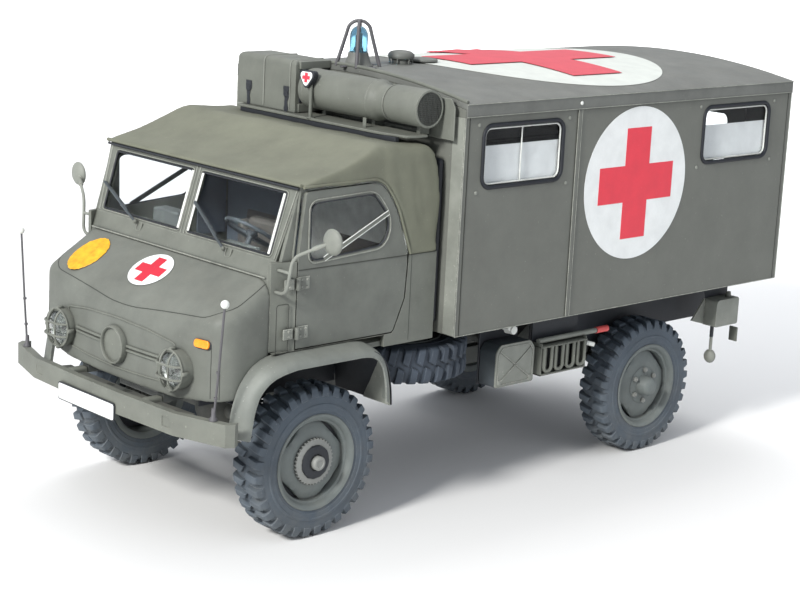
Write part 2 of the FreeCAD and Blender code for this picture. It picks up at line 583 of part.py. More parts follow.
# Soft top from the side, (Y, Z): header, crest over the bow, rear edge and the slope down to the cab's rear
header_z = SCREEN_TOP + 16
TOP_REAR = [(760, CANVAS_CREST - 22), (800, 2190), (838, 2090), (CAB_REAR + 5, 1892), (CAB_REAR - 15, BELT)]
CANVAS_BOTTOM = [(652, BELT), (533, 1898), (412, DOOR_TOP + CANVAS_FOOT),
                 (CANVAS_HEADER_Y, DOOR_TOP + CANVAS_FOOT)]


def canvas_body(inset):
    """Soft top's outer volume; the open edges at its foot stay where they are."""
    outline = [(CANVAS_HEADER_Y - inset, BELT - 100), (CANVAS_HEADER_Y + 2 * inset, header_z - inset / 2),
               (CANVAS_CREST_Y, CANVAS_CREST - inset)]
    outline += [(y - inset, z - (inset if z > 2200 else 0)) for y, z in TOP_REAR[:-1]]
    outline.append((TOP_REAR[-1][0] - inset, BELT - 100))
    half, eaves = CANVAS_HALF - inset, CANVAS_EAVES - inset
    side = prism("x", outline, -half, half)
    crown = CANVAS_CREST + 2 - inset
    across = shoulder_wire(CANVAS_HEADER_Y - 100, half, crown, crown - eaves, BELT - 200)
    return side.common(Part.Face(across).extrude(V(0, 1300, 0)))


canvas_shell = canvas_body(0.0).cut(canvas_body(SHEET))
top_line = [(CANVAS_HEADER_Y, header_z), (CANVAS_CREST_Y, CANVAS_CREST + 20)]
canvas_keep = prism("x", top_line + TOP_REAR + CANVAS_BOTTOM, -1000, 1000)
back_curtain = box(-CAB_HALF, CAB_HALF, 700, 900, BELT, CANVAS_CREST + 50)
save("canvas_top", canvas_shell.common(fuse(canvas_keep, back_curtain)))

DOOR_SHAPE = [(DOOR_FRONT, DOOR_LOW), (522, DOOR_LOW), (538, 1158), (614, 1337), (630, BELT), (518, 1892),
              (400, DOOR_TOP), (-150, DOOR_TOP - 10), (DOOR_FRONT, SCUTTLE_TOP)]
DOOR_PANE = [(-108, 1632), (-112, 1955), (352, 1972), (458, 1850), (470, 1740), (420, 1668)]
PANE_CORNER, PANE_DEPTH = 22.0, 8.0
HINGE_LEAF_REAR = -140.0
door_inside = CAB_HALF - SHEET
pane_cut = prism("x", DOOR_PANE, door_inside - 20, CAB_HALF + 20, radius=PANE_CORNER)
hinge_y = (DOOR_FRONT + POST_REAR) / 2
hinges = []
for z in HINGE_HEIGHTS:
    hinges.append(rod((HINGE_PIN_X, hinge_y, z - 34), (HINGE_PIN_X, hinge_y, z + 34), HINGE_RADIUS))
    hinges.append(box(CAB_HALF, CAB_HALF + 8, DOOR_FRONT, HINGE_LEAF_REAR, z - 34, z + 34))
door = fuse(prism("x", DOOR_SHAPE, door_inside, CAB_HALF).cut(pane_cut), *hinges)
door_glass = prism("x", DOOR_PANE, door_inside + PANE_DEPTH, door_inside + PANE_DEPTH + GLASS,
                   radius=PANE_CORNER)
save("cab_door_left", door)
save("cab_door_right", mirrored(door))
save("door_glass_left", door_glass)
save("door_glass_right", mirrored(door_glass))

WHEEL_CENTRE = V(430, 20, 1500)
WHEEL_TILT = V(0, 0.6, 0.8)
WHEEL_RIM, WHEEL_BAR = 195.0, 11.0
steering_wheel = Part.makeTorus(WHEEL_RIM, WHEEL_BAR, WHEEL_CENTRE, WHEEL_TILT)
column = rod(tuple(WHEEL_CENTRE), (WHEEL_CENTRE.x, -170, 1247), 16)
spokes = []
for angle in (0, math.pi, -math.pi / 2):
    tip = WHEEL_CENTRE + (V(math.cos(angle), 0, 0) + V(0, 0.8, -0.6) * math.sin(angle)) * WHEEL_RIM
    spokes.append(rod(tuple(WHEEL_CENTRE), tuple(tip), 8))
dash_board = fuse(box(-850, 850, DOOR_FRONT - 60, -130, 1400, SCUTTLE_TOP - SHEET - 10),
                  box(400, 460, -190, -130, 1230, 1400))
save("dashboard", fuse(dash_board, column, *spokes, steering_wheel))

SEAT_INNER, SEAT_OUTER, SEAT_TOP = 190.0, 650.0, 1290.0
seat = fuse(box(SEAT_INNER, SEAT_OUTER, 330, 720, SEAT_TOP - 110, SEAT_TOP),
            prism("x", [(640, SEAT_TOP), (720, SEAT_TOP), (790, 1780), (720, 1780)], SEAT_INNER, SEAT_OUTER),
            box(SEAT_INNER + 40, SEAT_OUTER - 40, 370, 680, FLOOR_LOW + SHEET, SEAT_TOP - 110))
save("cab_seats", pair(seat))

mirror_arm = bent_tube([(NOSE_HALF - 10, -318, 1478), (985, -320, 1478), (1008, -300, 1690),
                        (1190, -216, 1796)], 11, 45)
mirror_stay = rod((NOSE_HALF - 10, -306, 1600), (998, -308, 1600), 9)
facing = V(math.sin(math.radians(MIRROR_TURN)), -math.cos(math.radians(MIRROR_TURN)), 0) * 16
head_centre = V(*MIRROR_CENTRE)
mirror_head = rod(tuple(head_centre - facing), tuple(head_centre + facing), MIRROR_RADIUS)
save("mirrors", pair(fuse(mirror_arm, mirror_stay, mirror_head).cut(fuse(front_post, scuttle_body(0.0)))))

# ---------------------------------------------------------------- box body

crown_rise = BOX_CROWN - BOX_EAVES
roof_half = BOX_HALF + RAIN_RAIL_OUT
roof_radius = (roof_half ** 2 + crown_rise ** 2) / (2 * crown_rise)


def under_arch(drop, y0, y1):
    """Everything below the roof's arch lowered by the drop."""
    centre_z = BOX_CROWN - roof_radius
    wide = box(-roof_half, roof_half, y0, y1, 0, 3000)
    return wide.common(rod((0, y0, centre_z), (0, y1, centre_z), roof_radius - drop))


room = under_arch(WALL, BOX_FRONT, BOX_REAR)
inner_half = BOX_HALF - WALL


def window(y_range, x0, x1):
    y0, y1 = y_range
    return prism("x", [(y0, WINDOW_LOW), (y1, WINDOW_LOW), (y1, WINDOW_HIGH), (y0, WINDOW_HIGH)], x0, x1,
                 radius=WINDOW_CORNER)


windows = [window(span, inner_half - 50, BOX_HALF + 50) for span in (FRONT_WINDOW, REAR_WINDOW)]
side_wall = box(inner_half, BOX_HALF, BOX_FRONT + WALL, BOX_REAR - WALL, BOX_LOW, BOX_CROWN).common(room)
side_wall = side_wall.cut(group(*windows))
save("box_left_wall", side_wall)
save("box_right_wall", mirrored(side_wall))
pane_inner = inner_half + 10
side_panes = [pair(window(span, pane_inner, pane_inner + GLASS)) for span in (FRONT_WINDOW, REAR_WINDOW)]
save("box_windows", group(*side_panes))
front_wall = box(-BOX_HALF, BOX_HALF, BOX_FRONT, BOX_FRONT + WALL, BOX_LOW, BOX_CROWN)
save("box_front_wall", front_wall.common(room))

rear_opening = box(-REAR_OPENING_HALF, REAR_OPENING_HALF, BOX_REAR - 100, BOX_REAR + 100, REAR_OPENING_LOW,
                   REAR_OPENING_HIGH)
save("box_rear_frame", box(-BOX_HALF, BOX_HALF, BOX_REAR - WALL, BOX_REAR, BOX_LOW, BOX_CROWN).common(room)
     .cut(rear_opening))
leaf_edge = REAR_OPENING_HALF - PANEL_GAP
leaf = box(PANEL_GAP / 2, leaf_edge, BOX_REAR - WALL, BOX_REAR, REAR_OPENING_LOW + PANEL_GAP,
           REAR_OPENING_HIGH - PANEL_GAP)
x0, x1, z0, z1 = REAR_PANE
rear_pane = [(x0, z0), (x1, z0), (x1, z1), (x0, z1)]
leaf = leaf.cut(prism("y", rear_pane, BOX_REAR - 100, BOX_REAR + 100, radius=WINDOW_CORNER))
rear_hinge_x = REAR_OPENING_HALF - PANEL_GAP / 2
rear_hinges = []
for z in REAR_HINGE_HEIGHTS:
    rear_hinges.append(rod((rear_hinge_x, REAR_HINGE_Y, z - 40), (rear_hinge_x, REAR_HINGE_Y, z + 40),
                           REAR_HINGE_RADIUS))
    rear_hinges.append(box(leaf_edge - 50, leaf_edge, BOX_REAR, BOX_REAR + 8, z - 40, z + 40))
leaf = fuse(leaf, *rear_hinges)
rear_glass = prism("y", rear_pane, BOX_REAR - WALL + 10, BOX_REAR - WALL + 10 + GLASS, radius=WINDOW_CORNER)
save("rear_door_left", leaf)
save("rear_door_right", mirrored(leaf))
save("rear_glass_left", rear_glass)
save("rear_glass_right", mirrored(rear_glass))

roof = under_arch(0.0, BOX_FRONT, BOX_REAR).cut(room).common(box(-roof_half, roof_half, 0, 5000, 2300, 3000))
rain_rail = box(BOX_HALF, roof_half, BOX_FRONT, BOX_REAR, RAIN_RAIL_LOW, BOX_EAVES)
save("box_roof", fuse(roof, rain_rail, mirrored(rain_rail)))

FLOOR_BEARERS = (990, 1500, 2250, WHEELBASE + 550, CHASSIS_REAR - 60)     # Y
floor_panel = box(-inner_half, inner_half, BOX_FRONT + WALL, BOX_REAR - WALL, BOX_LOW, BOX_LOW + WALL)
bearers = [box(-770, 770, y - 30, y + 30, SUBFRAME_TOP, BOX_LOW) for y in FLOOR_BEARERS]
save("box_floor", fuse(floor_panel, *bearers))
longeron = box(RAIL_INNER, RAIL_OUTER, BOX_FRONT + 40, CHASSIS_REAR, SUBFRAME_LOW, SUBFRAME_TOP)
# Y and top of the rail below each foot
feet = [(1600, RAIL_LOW_TOP), (kick_up - 100, RAIL_LOW_TOP), (WHEELBASE - 400, RAIL_HIGH_TOP),
        (WHEELBASE + 350, RAIL_HIGH_TOP), (CHASSIS_REAR - 100, RAIL_HIGH_TOP)]
blocks = [box(RAIL_INNER, RAIL_OUTER, y - 45, y + 45, low, SUBFRAME_LOW) for y, low in feet]
save("box_subframe", pair(fuse(longeron, *blocks)))

RACK_INNER, RACK_OUTER, RACK_FRONT, RACK_REAR = 380.0, 940.0, 1500.0, 3500.0
LITTER_HEIGHTS = (1420.0, 1950.0)
POST, POLE_RADIUS, LITTER = 36.0, 18.0, 60.0
rack_low = BOX_LOW + WALL
rack_pieces = []
for x in (RACK_INNER + 80, RACK_OUTER - 80 - POST):
    for y in (RACK_FRONT + 250, RACK_REAR - 250 - POST):
        rack_pieces.append(box(x, x + POST, y, y + POST, rack_low, LITTER_HEIGHTS[-1]))
for z in LITTER_HEIGHTS:
    rack_pieces.append(box(RACK_INNER + 20, RACK_OUTER - 20, RACK_FRONT + 80, RACK_REAR - 80, z - LITTER, z))
    for x in (RACK_INNER + POLE_RADIUS, RACK_OUTER - POLE_RADIUS):
        rack_pieces.append(rod((x, RACK_FRONT, z - LITTER / 2), (x, RACK_REAR, z - LITTER / 2), POLE_RADIUS))
save("stretcher_racks", pair(fuse(*rack_pieces)))

# ---------------------------------------------------------------- roof equipment

tray_top = TRAY_Z + 16
tray = fuse(box(-760, 800, 600, 640, TRAY_Z, tray_top), box(-760, 800, 860, BOX_FRONT, TRAY_Z, tray_top),
            *[box(x, x + 40, 600, BOX_FRONT, TRAY_Z, tray_top) for x in (-760, -100, 200, 500, 760)])
save("equipment_tray", tray)
save("stowage_box", box(-740, -150, 640, BOX_FRONT, tray_top, STOWAGE_TOP))
drum = fuse(rod((-120, DRUM_Y, DRUM_Z), (520, DRUM_Y, DRUM_Z), DRUM_RADIUS),
            rod((520, DRUM_Y, DRUM_Z), (660, DRUM_Y, DRUM_Z), DRUM_NECK_RADIUS),
            Part.makeCone(DRUM_NECK_RADIUS, DRUM_RADIUS, 60, V(660, DRUM_Y, DRUM_Z), V(1, 0, 0)),
            rod((720, DRUM_Y, DRUM_Z), (940, DRUM_Y, DRUM_Z), DRUM_RADIUS),
            *[box(x, x + 40, DRUM_Y - 70, DRUM_Y + 70, tray_top, DRUM_Z - 80) for x in (-60, 380, 780)])
mouth = rod((800, DRUM_Y, DRUM_Z), (945, DRUM_Y, DRUM_Z), DRUM_MOUTH_RADIUS)
save("heater_drum", drum.cut(mouth))

base_z = BOX_CROWN
beacon_base = rod((0, BEACON_Y, base_z - 1), (0, BEACON_Y, base_z + 85), 88)
dome = fuse(rod((0, BEACON_Y, base_z + 85), (0, BEACON_Y, base_z + 185), 58),
            ball((0, BEACON_Y, base_z + 185), 58).common(box(-60, 60, 900, 1100, base_z + 185, 2900)))
save("beacon_dome", dome)
guard_radius, guard_bar = 130, 8
hoop_top = BEACON_TOP - guard_bar - guard_radius
hoops = []
for turn in (0, 90):
    legs = [rod((x, BEACON_Y, base_z - 2), (x, BEACON_Y, hoop_top), guard_bar)
            for x in (-guard_radius, guard_radius)]
    ring = Part.makeTorus(guard_radius, guard_bar, V(0, BEACON_Y, hoop_top), V(0, 1, 0))
    hoop = fuse(*legs, ring.common(box(-300, 300, 0, 2000, hoop_top, 3000)))
    hoop.rotate(V(0, BEACON_Y, 0), V(0, 0, 1), turn)
    hoops.append(hoop)
foot_plate = box(-guard_radius - 12, guard_radius + 12, BEACON_Y - 12, BEACON_Y + 12, base_z - 2, base_z + 8)
cross_plate = box(-12, 12, BOX_FRONT, BEACON_Y + guard_radius + 12, base_z - 2, base_z + 8)
below_roof = under_arch(0.0, BOX_FRONT, BOX_REAR)
save("beacon_mount", fuse(beacon_base, foot_plate, cross_plate, *hoops).cut(below_roof))

# Roof vents on the centre line: (Y, cap radius, cap underside, cap top), heights above the crown
vents = []
for y, radius, under, top in ((1370, 83, 27, 83), (1562, 92, 8, 30)):
    vents.append(fuse(rod((0, y, BOX_CROWN - 30), (0, y, BOX_CROWN + under), 60),
                      rod((0, y, BOX_CROWN + under), (0, y, BOX_CROWN + top), radius)))
save("roof_vents", group(*[vent.cut(below_roof) for vent in vents]))

# ---------------------------------------------------------------- stowage below the box

save("jerrycan", box(800, 950, 1416, 1738, 690, 919))
holder = fuse(box(780, 960, 1396, 1758, 673, 690), box(780, 800, 1396, 1758, 690, BOX_LOW),
              box(800, 960, 1396, 1412, 690, 800), box(800, 960, 1742, 1758, 690, 800))
rack = fuse(box(880, 900, 1787, 2210, 695, BOX_LOW), box(900, 960, 1787, 2210, 695, 710),
            *[box(900, 960, y, y + 12, 710, 880) for y in (1787, 1890, 1993, 2096, 2198)])
pole = rod((930, 1796, 908), (930, 2421, 908), 9)
save("side_racks", group(holder, fuse(rack, pole)))
tank = box(-950, -470, 960, 1560, 700, 1000)
straps = [box(-958, -462, y, y + 40, 692, 1008) for y in (1080, 1400)]
save("fuel_tank", fuse(tank, *straps, box(-700, -405, 1080, 1120, 1000, SUBFRAME_LOW)))
SILENCER_X, SILENCER_Z, SILENCER_RADIUS, PIPE_RADIUS = -620, 860, 90, 28
silencer = fuse(rod((SILENCER_X, 1680, SILENCER_Z), (SILENCER_X, 2150, SILENCER_Z), SILENCER_RADIUS),
                rod((SILENCER_X, 2150, SILENCER_Z), (SILENCER_X, 2250, SILENCER_Z), PIPE_RADIUS),
                rod((SILENCER_X, 2222, SILENCER_Z), (-1000, 2222, SILENCER_Z), PIPE_RADIUS),
                rod((SILENCER_X, 1900, SILENCER_Z + 70), (SILENCER_X, 1900, BOX_LOW), 15))
save("exhaust", silencer)
lamp_front, lamp_rear = WHEELBASE + 504, WHEELBASE + 866
lamp_box = fuse(box(860, 880, lamp_front, lamp_rear, 760, BOX_LOW),
                box(880, 985, lamp_rear - 166, lamp_rear, 780, 969),
                prism("x", [(lamp_front - 154, 828), (lamp_front, 969), (lamp_front, 790)], 860, 880))
save("rear_lamps", pair(lamp_box))
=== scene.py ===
import json
import math

import bmesh
import bpy
from mathutils import Matrix, Vector, geometry, noise
from mathutils.bvhtree import BVHTree

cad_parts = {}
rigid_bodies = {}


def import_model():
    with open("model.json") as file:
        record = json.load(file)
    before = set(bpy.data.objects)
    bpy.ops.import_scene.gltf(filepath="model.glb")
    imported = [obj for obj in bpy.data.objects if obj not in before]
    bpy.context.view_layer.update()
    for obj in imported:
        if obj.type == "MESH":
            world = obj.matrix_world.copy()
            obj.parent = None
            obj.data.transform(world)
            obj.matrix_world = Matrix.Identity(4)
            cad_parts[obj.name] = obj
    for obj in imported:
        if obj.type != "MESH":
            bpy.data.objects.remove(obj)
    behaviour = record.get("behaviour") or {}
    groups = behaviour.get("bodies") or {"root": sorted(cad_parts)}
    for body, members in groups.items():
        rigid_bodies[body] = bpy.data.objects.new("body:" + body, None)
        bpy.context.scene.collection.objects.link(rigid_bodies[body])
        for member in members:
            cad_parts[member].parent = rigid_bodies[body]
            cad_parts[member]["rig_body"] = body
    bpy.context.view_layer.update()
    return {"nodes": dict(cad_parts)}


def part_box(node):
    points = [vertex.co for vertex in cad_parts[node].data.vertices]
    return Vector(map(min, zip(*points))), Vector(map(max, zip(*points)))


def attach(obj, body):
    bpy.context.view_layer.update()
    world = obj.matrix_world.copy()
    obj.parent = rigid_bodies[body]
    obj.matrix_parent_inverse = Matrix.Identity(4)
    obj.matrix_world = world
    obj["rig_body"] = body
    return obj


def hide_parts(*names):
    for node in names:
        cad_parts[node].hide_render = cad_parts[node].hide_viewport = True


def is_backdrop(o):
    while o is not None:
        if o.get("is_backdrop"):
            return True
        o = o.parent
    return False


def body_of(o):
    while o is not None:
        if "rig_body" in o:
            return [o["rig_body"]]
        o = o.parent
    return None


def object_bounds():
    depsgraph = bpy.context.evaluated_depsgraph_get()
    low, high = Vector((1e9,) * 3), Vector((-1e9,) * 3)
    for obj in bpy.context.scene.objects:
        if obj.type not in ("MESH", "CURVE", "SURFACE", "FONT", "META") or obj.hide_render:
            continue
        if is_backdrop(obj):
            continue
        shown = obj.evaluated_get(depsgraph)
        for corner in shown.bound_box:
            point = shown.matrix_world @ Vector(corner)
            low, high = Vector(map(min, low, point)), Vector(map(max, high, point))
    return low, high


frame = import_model()

# Working units are the full-size truck's millimetres, measured from the front axle: X to its left, Y to its
# rear, Z up from the ground. TO_FRAME brings them to the scale model's metres.
MM = 1 / 35000
HUB_LOW, HUB_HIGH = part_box("tyre_front_left")
TO_FRAME = Matrix.Translation((0, (HUB_LOW.y + HUB_HIGH.y) / 2, 0)) @ Matrix.Scale(MM, 4)
FROM_FRAME = TO_FRAME.inverted()
ORIGIN = Vector((0, 0, 0))
AXIS_X, AXIS_Y, AXIS_Z = Vector((1, 0, 0)), Vector((0, 1, 0)), Vector((0, 0, 1))
SIDES = ((1, "left"), (-1, "right"))
CORNER_PULL = 0.55  # how far a rounded corner's handles lean towards the corner
CORNER_SHARE = 0.49  # most that a rounded corner takes of the run beside it
WHEELBASE = 2900
BEACON_Y, VENT_Y, REAR_VENT_Y = 1010, 1370, 1562


def middle(node):
    """Middle of a CAD node's box, in working units."""
    low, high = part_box(node)
    return FROM_FRAME @ ((low + high) / 2)


def handed(hand):
    """Leaves a shape on the left side, or with a hand of -1 mirrors it to the right."""
    return Matrix.Diagonal((hand, 1, 1, 1))


# ---------------------------------------------------------------- shapes

def lay(axis, level, outline):
    """Outline of two-number points, laid across an axis at that level."""
    spot = "xyz".index(axis)
    return [Vector((*point[:spot], level, *point[spot:])) for point in outline]


def softened(points, radius, steps=4, closed=True):
    """The points with each corner turned into a curve that starts the radius away from it."""
    points = [Vector(point) for point in points]
    result = []
    for i, corner in enumerate(points):
        if not closed and i in (0, len(points) - 1):
            result.append(corner)
            continue
        before, after = points[i - 1] - corner, points[(i + 1) % len(points)] - corner
        reach = min(radius, before.length * CORNER_SHARE, after.length * CORNER_SHARE)
        start, end = corner + before.normalized() * reach, corner + after.normalized() * reach
        result += geometry.interpolate_bezier(start, start.lerp(corner, CORNER_PULL),
            end.lerp(corner, CORNER_PULL), end, steps)
    return result


def divided(points, step, closed=False):
    """The same line with points no further apart than the step."""
    result = []
    for first, last in zip(points, points[1:] + points[:1] if closed else points[1:]):
        parts = max(1, math.ceil((last - first).length / step))
        result += [first.lerp(last, part / parts) for part in range(parts)]
    return result if closed else result + [points[-1]]


def circle(centre, across, upward, count):
    """Points round a centre; across and upward are the radius each way."""
    angles = [math.tau * i / count for i in range(count)]
    return [centre + across * math.cos(a) + upward * math.sin(a) for a in angles]


def edges_of(verts):
    return list({edge for vert in verts for edge in vert.link_edges})


def since(bm, before):
    """Vertices that the mesh has gained."""
    return [vert for vert in bm.verts if vert not in before]


def thickened(bm, faces):
    """The new vertices of faces that are extruded as one skin."""
    geom = bmesh.ops.extrude_face_region(bm, geom=faces)["geom"]
    return [part for part in geom if isinstance(part, bmesh.types.BMVert)]


def next_ring(bm, edges):
    """The new vertices and edges of a row extruded from edges."""
    geom = bmesh.ops.extrude_edge_only(bm, edges=edges)["geom"]
    return [[part for part in geom if isinstance(part, kind)]
        for kind in (bmesh.types.BMVert, bmesh.types.BMEdge)]


def round_edges(bm, edges, width, segments=2):
    bmesh.ops.bevel(bm, geom=edges, offset=width, offset_type="OFFSET", segments=segments, profile=0.5,
        affect="EDGES", material=-1, clamp_overlap=True)


def block(bm, low, high, edge=0.0, segments=2):
    """Box between two corners, its edges rounded."""
    low, high = Vector(low), Vector(high)
    place = Matrix.LocRotScale((low + high) / 2, None, high - low)
    made = bmesh.ops.create_cube(bm, size=1, matrix=place)["verts"]
    if edge:
        round_edges(bm, edges_of(made), edge, segments)
    return made


def side_block(bm, hand, low, high, edge=0.0, segments=2):
    """Block given for the left side; a hand of -1 swaps its X levels to the right."""
    near, far = sorted((hand * low[0], hand * high[0]))
    block(bm, (near, *low[1:]), (far, *high[1:]), edge, segments)


def bar(bm, start, end, radius, tip=None, sides=16):
    """Round bar between two points, tapered when its tip has another radius."""
    start, end = Vector(start), Vector(end)
    place = Matrix.LocRotScale((start + end) / 2, (end - start).to_track_quat("Z", "Y"), None)
    bmesh.ops.create_cone(bm, cap_ends=True, segments=sides, radius1=radius, radius2=tip or radius,
        depth=(end - start).length, matrix=place)


def ball(bm, centre, radius, stretch=(1, 1, 1), segments=24):
    place = Matrix.LocRotScale(Vector(centre), None, Vector(stretch) * radius)
    bmesh.ops.create_uvsphere(bm, u_segments=segments, v_segments=segments // 2, radius=1, matrix=place)


def lathe(bm, profile, centre, axis, steps=48, closed=False):
    """Solid of revolution: the profile gives (radius, distance along the axis) from the centre."""
    centre, axis = Vector(centre), Vector(axis).normalized()
    side = axis.orthogonal().normalized()
    verts = [bm.verts.new(centre + axis * along + side * radius) for radius, along in profile]
    edges = [bm.edges.new(pair) for pair in zip(verts, verts[1:] + verts[:1] if closed else verts[1:])]
    before = set(bm.verts) - set(verts)
    bmesh.ops.spin(bm, geom=verts + edges, cent=centre, axis=axis, angle=math.tau, steps=steps,
        use_merge=True, use_duplicate=False)
    bmesh.ops.remove_doubles(bm, verts=since(bm, before), dist=0.01)
    return since(bm, before)


def plate(bm, outline, push, edge=0.0, segments=2):
    """Flat outline pushed out to a plate, its edges rounded."""
    before = set(bm.verts)
    face = bm.faces.new([bm.verts.new(point) for point in outline])
    bmesh.ops.translate(bm, verts=thickened(bm, [face]), vec=Vector(push))
    if edge:
        sharp = [line for line in edges_of(since(bm, before)) if line.calc_face_angle(0) > math.radians(40)]
        round_edges(bm, sharp, edge, segments)
    return since(bm, before)


def slab(bm, axis, level, outline, thick, edge=0.0, segments=2):
    """Plate laid across an axis at that level and thickened along the axis."""
    push = {"x": AXIS_X, "y": AXIS_Y, "z": AXIS_Z}[axis] * thick
    return plate(bm, lay(axis, level, outline), push, edge, segments)


def pipe(bm, points, radius, sides=8, closed=False):
    """Round bar that follows the points."""
    points = [Vector(point) for point in points]
    count = len(points)
    headings = []
    for i in range(count):
        before = points[i - 1] if i or closed else points[i]
        after = points[(i + 1) % count] if i < count - 1 or closed else points[i]
        headings.append((after - before).normalized())
    place = Matrix.LocRotScale(points[0], headings[0].to_track_quat("Z", "Y"), None)
    ring = bmesh.ops.create_circle(bm, cap_ends=False, segments=sides, radius=radius, matrix=place)["verts"]
    first = edges = edges_of(ring)
    for i in range(1, count):
        ring, edges = next_ring(bm, edges)
        turn = headings[i - 1].rotation_difference(headings[i]).to_matrix()
        bmesh.ops.rotate(bm, verts=ring, cent=points[i - 1], matrix=turn)
        bmesh.ops.translate(bm, verts=ring, vec=points[i] - points[i - 1])
    if closed:
        bmesh.ops.bridge_loops(bm, edges=first + edges)
    else:
        bmesh.ops.edgeloop_fill(bm, edges=first)
        bmesh.ops.edgeloop_fill(bm, edges=edges)


def loop(bm, points, radius, sides=6):
    """Closed pipe through the points."""
    pipe(bm, points, radius, sides, True)


def upright(bm, x, y, low, high, radius, sides=6):
    """Straight pipe between two heights."""
    pipe(bm, [(x, y, low), (x, y, high)], radius, sides)


def around(bm, count, verts):
    """Repeats the shape that the vertices make, evenly round the X axis."""
    faces = list({face for vert in verts for face in vert.link_faces})
    for step in range(1, count):
        copy = bmesh.ops.duplicate(bm, geom=list(verts) + edges_of(verts) + faces)["geom"]
        moved = [part for part in copy if isinstance(part, bmesh.types.BMVert)]
        turn = Matrix.Rotation(math.tau * step / count, 3, AXIS_X)
        bmesh.ops.rotate(bm, verts=moved, cent=ORIGIN, matrix=turn)


def shape_up(bm, shapes):
    """Makes each shape, which is given as its maker and the maker's values."""
    for maker, *values in shapes:
        maker(bm, *values)


def wreath(bm, count, *shapes):
    """The shapes, repeated evenly round the X axis."""
    before = set(bm.verts)
    shape_up(bm, shapes)
    around(bm, count, since(bm, before))


def piece(name, bm, material, body="chassis", slot=None, smooth=35, replaces=(), weighted=False,
        place=None):
    """Finished object of the mesh, in the frame, riding on its body."""
    if place:
        bmesh.ops.transform(bm, matrix=place, verts=bm.verts)
    bmesh.ops.recalc_face_normals(bm, faces=bm.faces)
    bmesh.ops.transform(bm, matrix=TO_FRAME, verts=bm.verts)
    mesh = bpy.data.meshes.new(name)
    bm.to_mesh(mesh)
    bm.free()
    mesh.shade_smooth()
    mesh.set_sharp_from_angle(angle=math.radians(smooth))
    mesh.materials.append(material)
    made = bpy.data.objects.new(name, mesh)
    bpy.context.scene.collection.objects.link(made)
    if weighted:
        made.modifiers.new("weighted", "WEIGHTED_NORMAL").keep_sharp = True
    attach(made, body)
    if replaces:
        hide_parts(*replaces)


def build(name, material, *shapes, **settings):
    """Piece made of shapes, each a maker and its values."""
    bm = bmesh.new()
    shape_up(bm, shapes)
    piece(name, bm, material, **settings)


# ---------------------------------------------------------------- shader groups

def add(tree, kind, inputs=None, **settings):
    """New shader node; an input is a plain value or the socket that feeds it."""
    node = tree.nodes.new(kind)
    for name, value in settings.items():
        setattr(node, name, value)
    for socket, value in (inputs or {}).items():
        if isinstance(value, bpy.types.NodeSocket):
            tree.links.new(value, node.inputs[socket])
        else:
            node.inputs[socket].default_value = value
    return node


def maths(tree, operation, first, second=0.5, clamp=False):
    return add(tree, "ShaderNodeMath", {0: first, 1: second}, operation=operation,
        use_clamp=clamp).outputs[0]


def ramp(tree, value, low, high):
    """Value stretched so that low becomes 0 and high becomes 1."""
    return add(tree, "ShaderNodeMapRange", {"Value": value, "From Min": low, "From Max": high}).outputs[0]


def clouds(tree, place, scale, detail, roughness=0.5):
    """Noise value at the place."""
    return add(tree, "ShaderNodeTexNoise", {"Vector": place, "Scale": scale, "Detail": detail,
        "Roughness": roughness}).outputs[0]


def blend_colour(tree, factor, first, second):
    return add(tree, "ShaderNodeMix", {0: factor, 6: first, 7: second}, data_type="RGBA").outputs[2]


def own_place(tree):
    return add(tree, "ShaderNodeTexCoord").outputs["Object"]


def new_group(name, inputs, outputs):
    """Empty node group with its input and output sockets."""
    tree = bpy.data.node_groups.new(name, "ShaderNodeTree")
    for label, value in inputs.items():
        tree.interface.new_socket(label, in_out="INPUT",
            socket_type="NodeSocketFloat").default_value = value
    for label in outputs:
        tree.interface.new_socket(label, in_out="OUTPUT", socket_type="NodeSocketFloat")
    return tree, tree.nodes.new("NodeGroupInput").outputs, tree.nodes.new("NodeGroupOutput").inputs


def give(tree, first, second, socket):
    """Sends the product of two values, kept between 0 and 1, to a socket."""
    tree.links.new(maths(tree, "MULTIPLY", first, second, clamp=True), socket)


def build_edge_wear():
    """Mask of the hard edges, broken up by a fine noise."""
    tree, given, result = new_group("edge_wear", {"Radius": 0.00012, "Amount": 1.0}, ["Mask"])
    rounded = add(tree, "ShaderNodeBevel", {"Radius": given["Radius"]}, samples=4)
    surface = add(tree, "ShaderNodeNewGeometry")
    dot = add(tree, "ShaderNodeVectorMath", {0: rounded.outputs[0], 1: surface.outputs["Normal"]},
        operation="DOT_PRODUCT").outputs["Value"]
    chips = ramp(tree, clouds(tree, own_place(tree), 900.0, 4.0), 0.36, 0.62)
    give(tree, maths(tree, "MULTIPLY", ramp(tree, dot, 0.985, 0.86), chips), given["Amount"],
        result["Mask"])
    return tree


def build_wash_and_shade():
    """Mask of the corners and seams that the surroundings shut in: a dark wash settles there, and the
    darkening there is also painted shade.
    """
    tree, given, result = new_group("crevice_wash_and_shade", {"Reach": 0.0006, "Amount": 1.0}, ["Mask"])
    open_sky = add(tree, "ShaderNodeAmbientOcclusion", {"Distance": given["Reach"]},
        samples=6).outputs["AO"]
    give(tree, ramp(tree, open_sky, 0.9, 0.35), given["Amount"], result["Mask"])
    return tree


def build_grain():
    """Fine grain of sprayed or brushed paint, and its slow changes of tone."""
    tree, given, result = new_group("paint_grain", {"Fine": 5200.0, "Slow": 90.0},
        ["Height", "Tone", "Speck"])
    place = own_place(tree)
    tree.links.new(clouds(tree, place, given["Fine"], 5.0), result["Height"])
    tree.links.new(ramp(tree, clouds(tree, place, given["Slow"], 6.0, 0.62), 0.3, 0.7), result["Tone"])
    tree.links.new(ramp(tree, clouds(tree, place, 2300.0, 1.0), 0.74, 0.8), result["Speck"])
    return tree


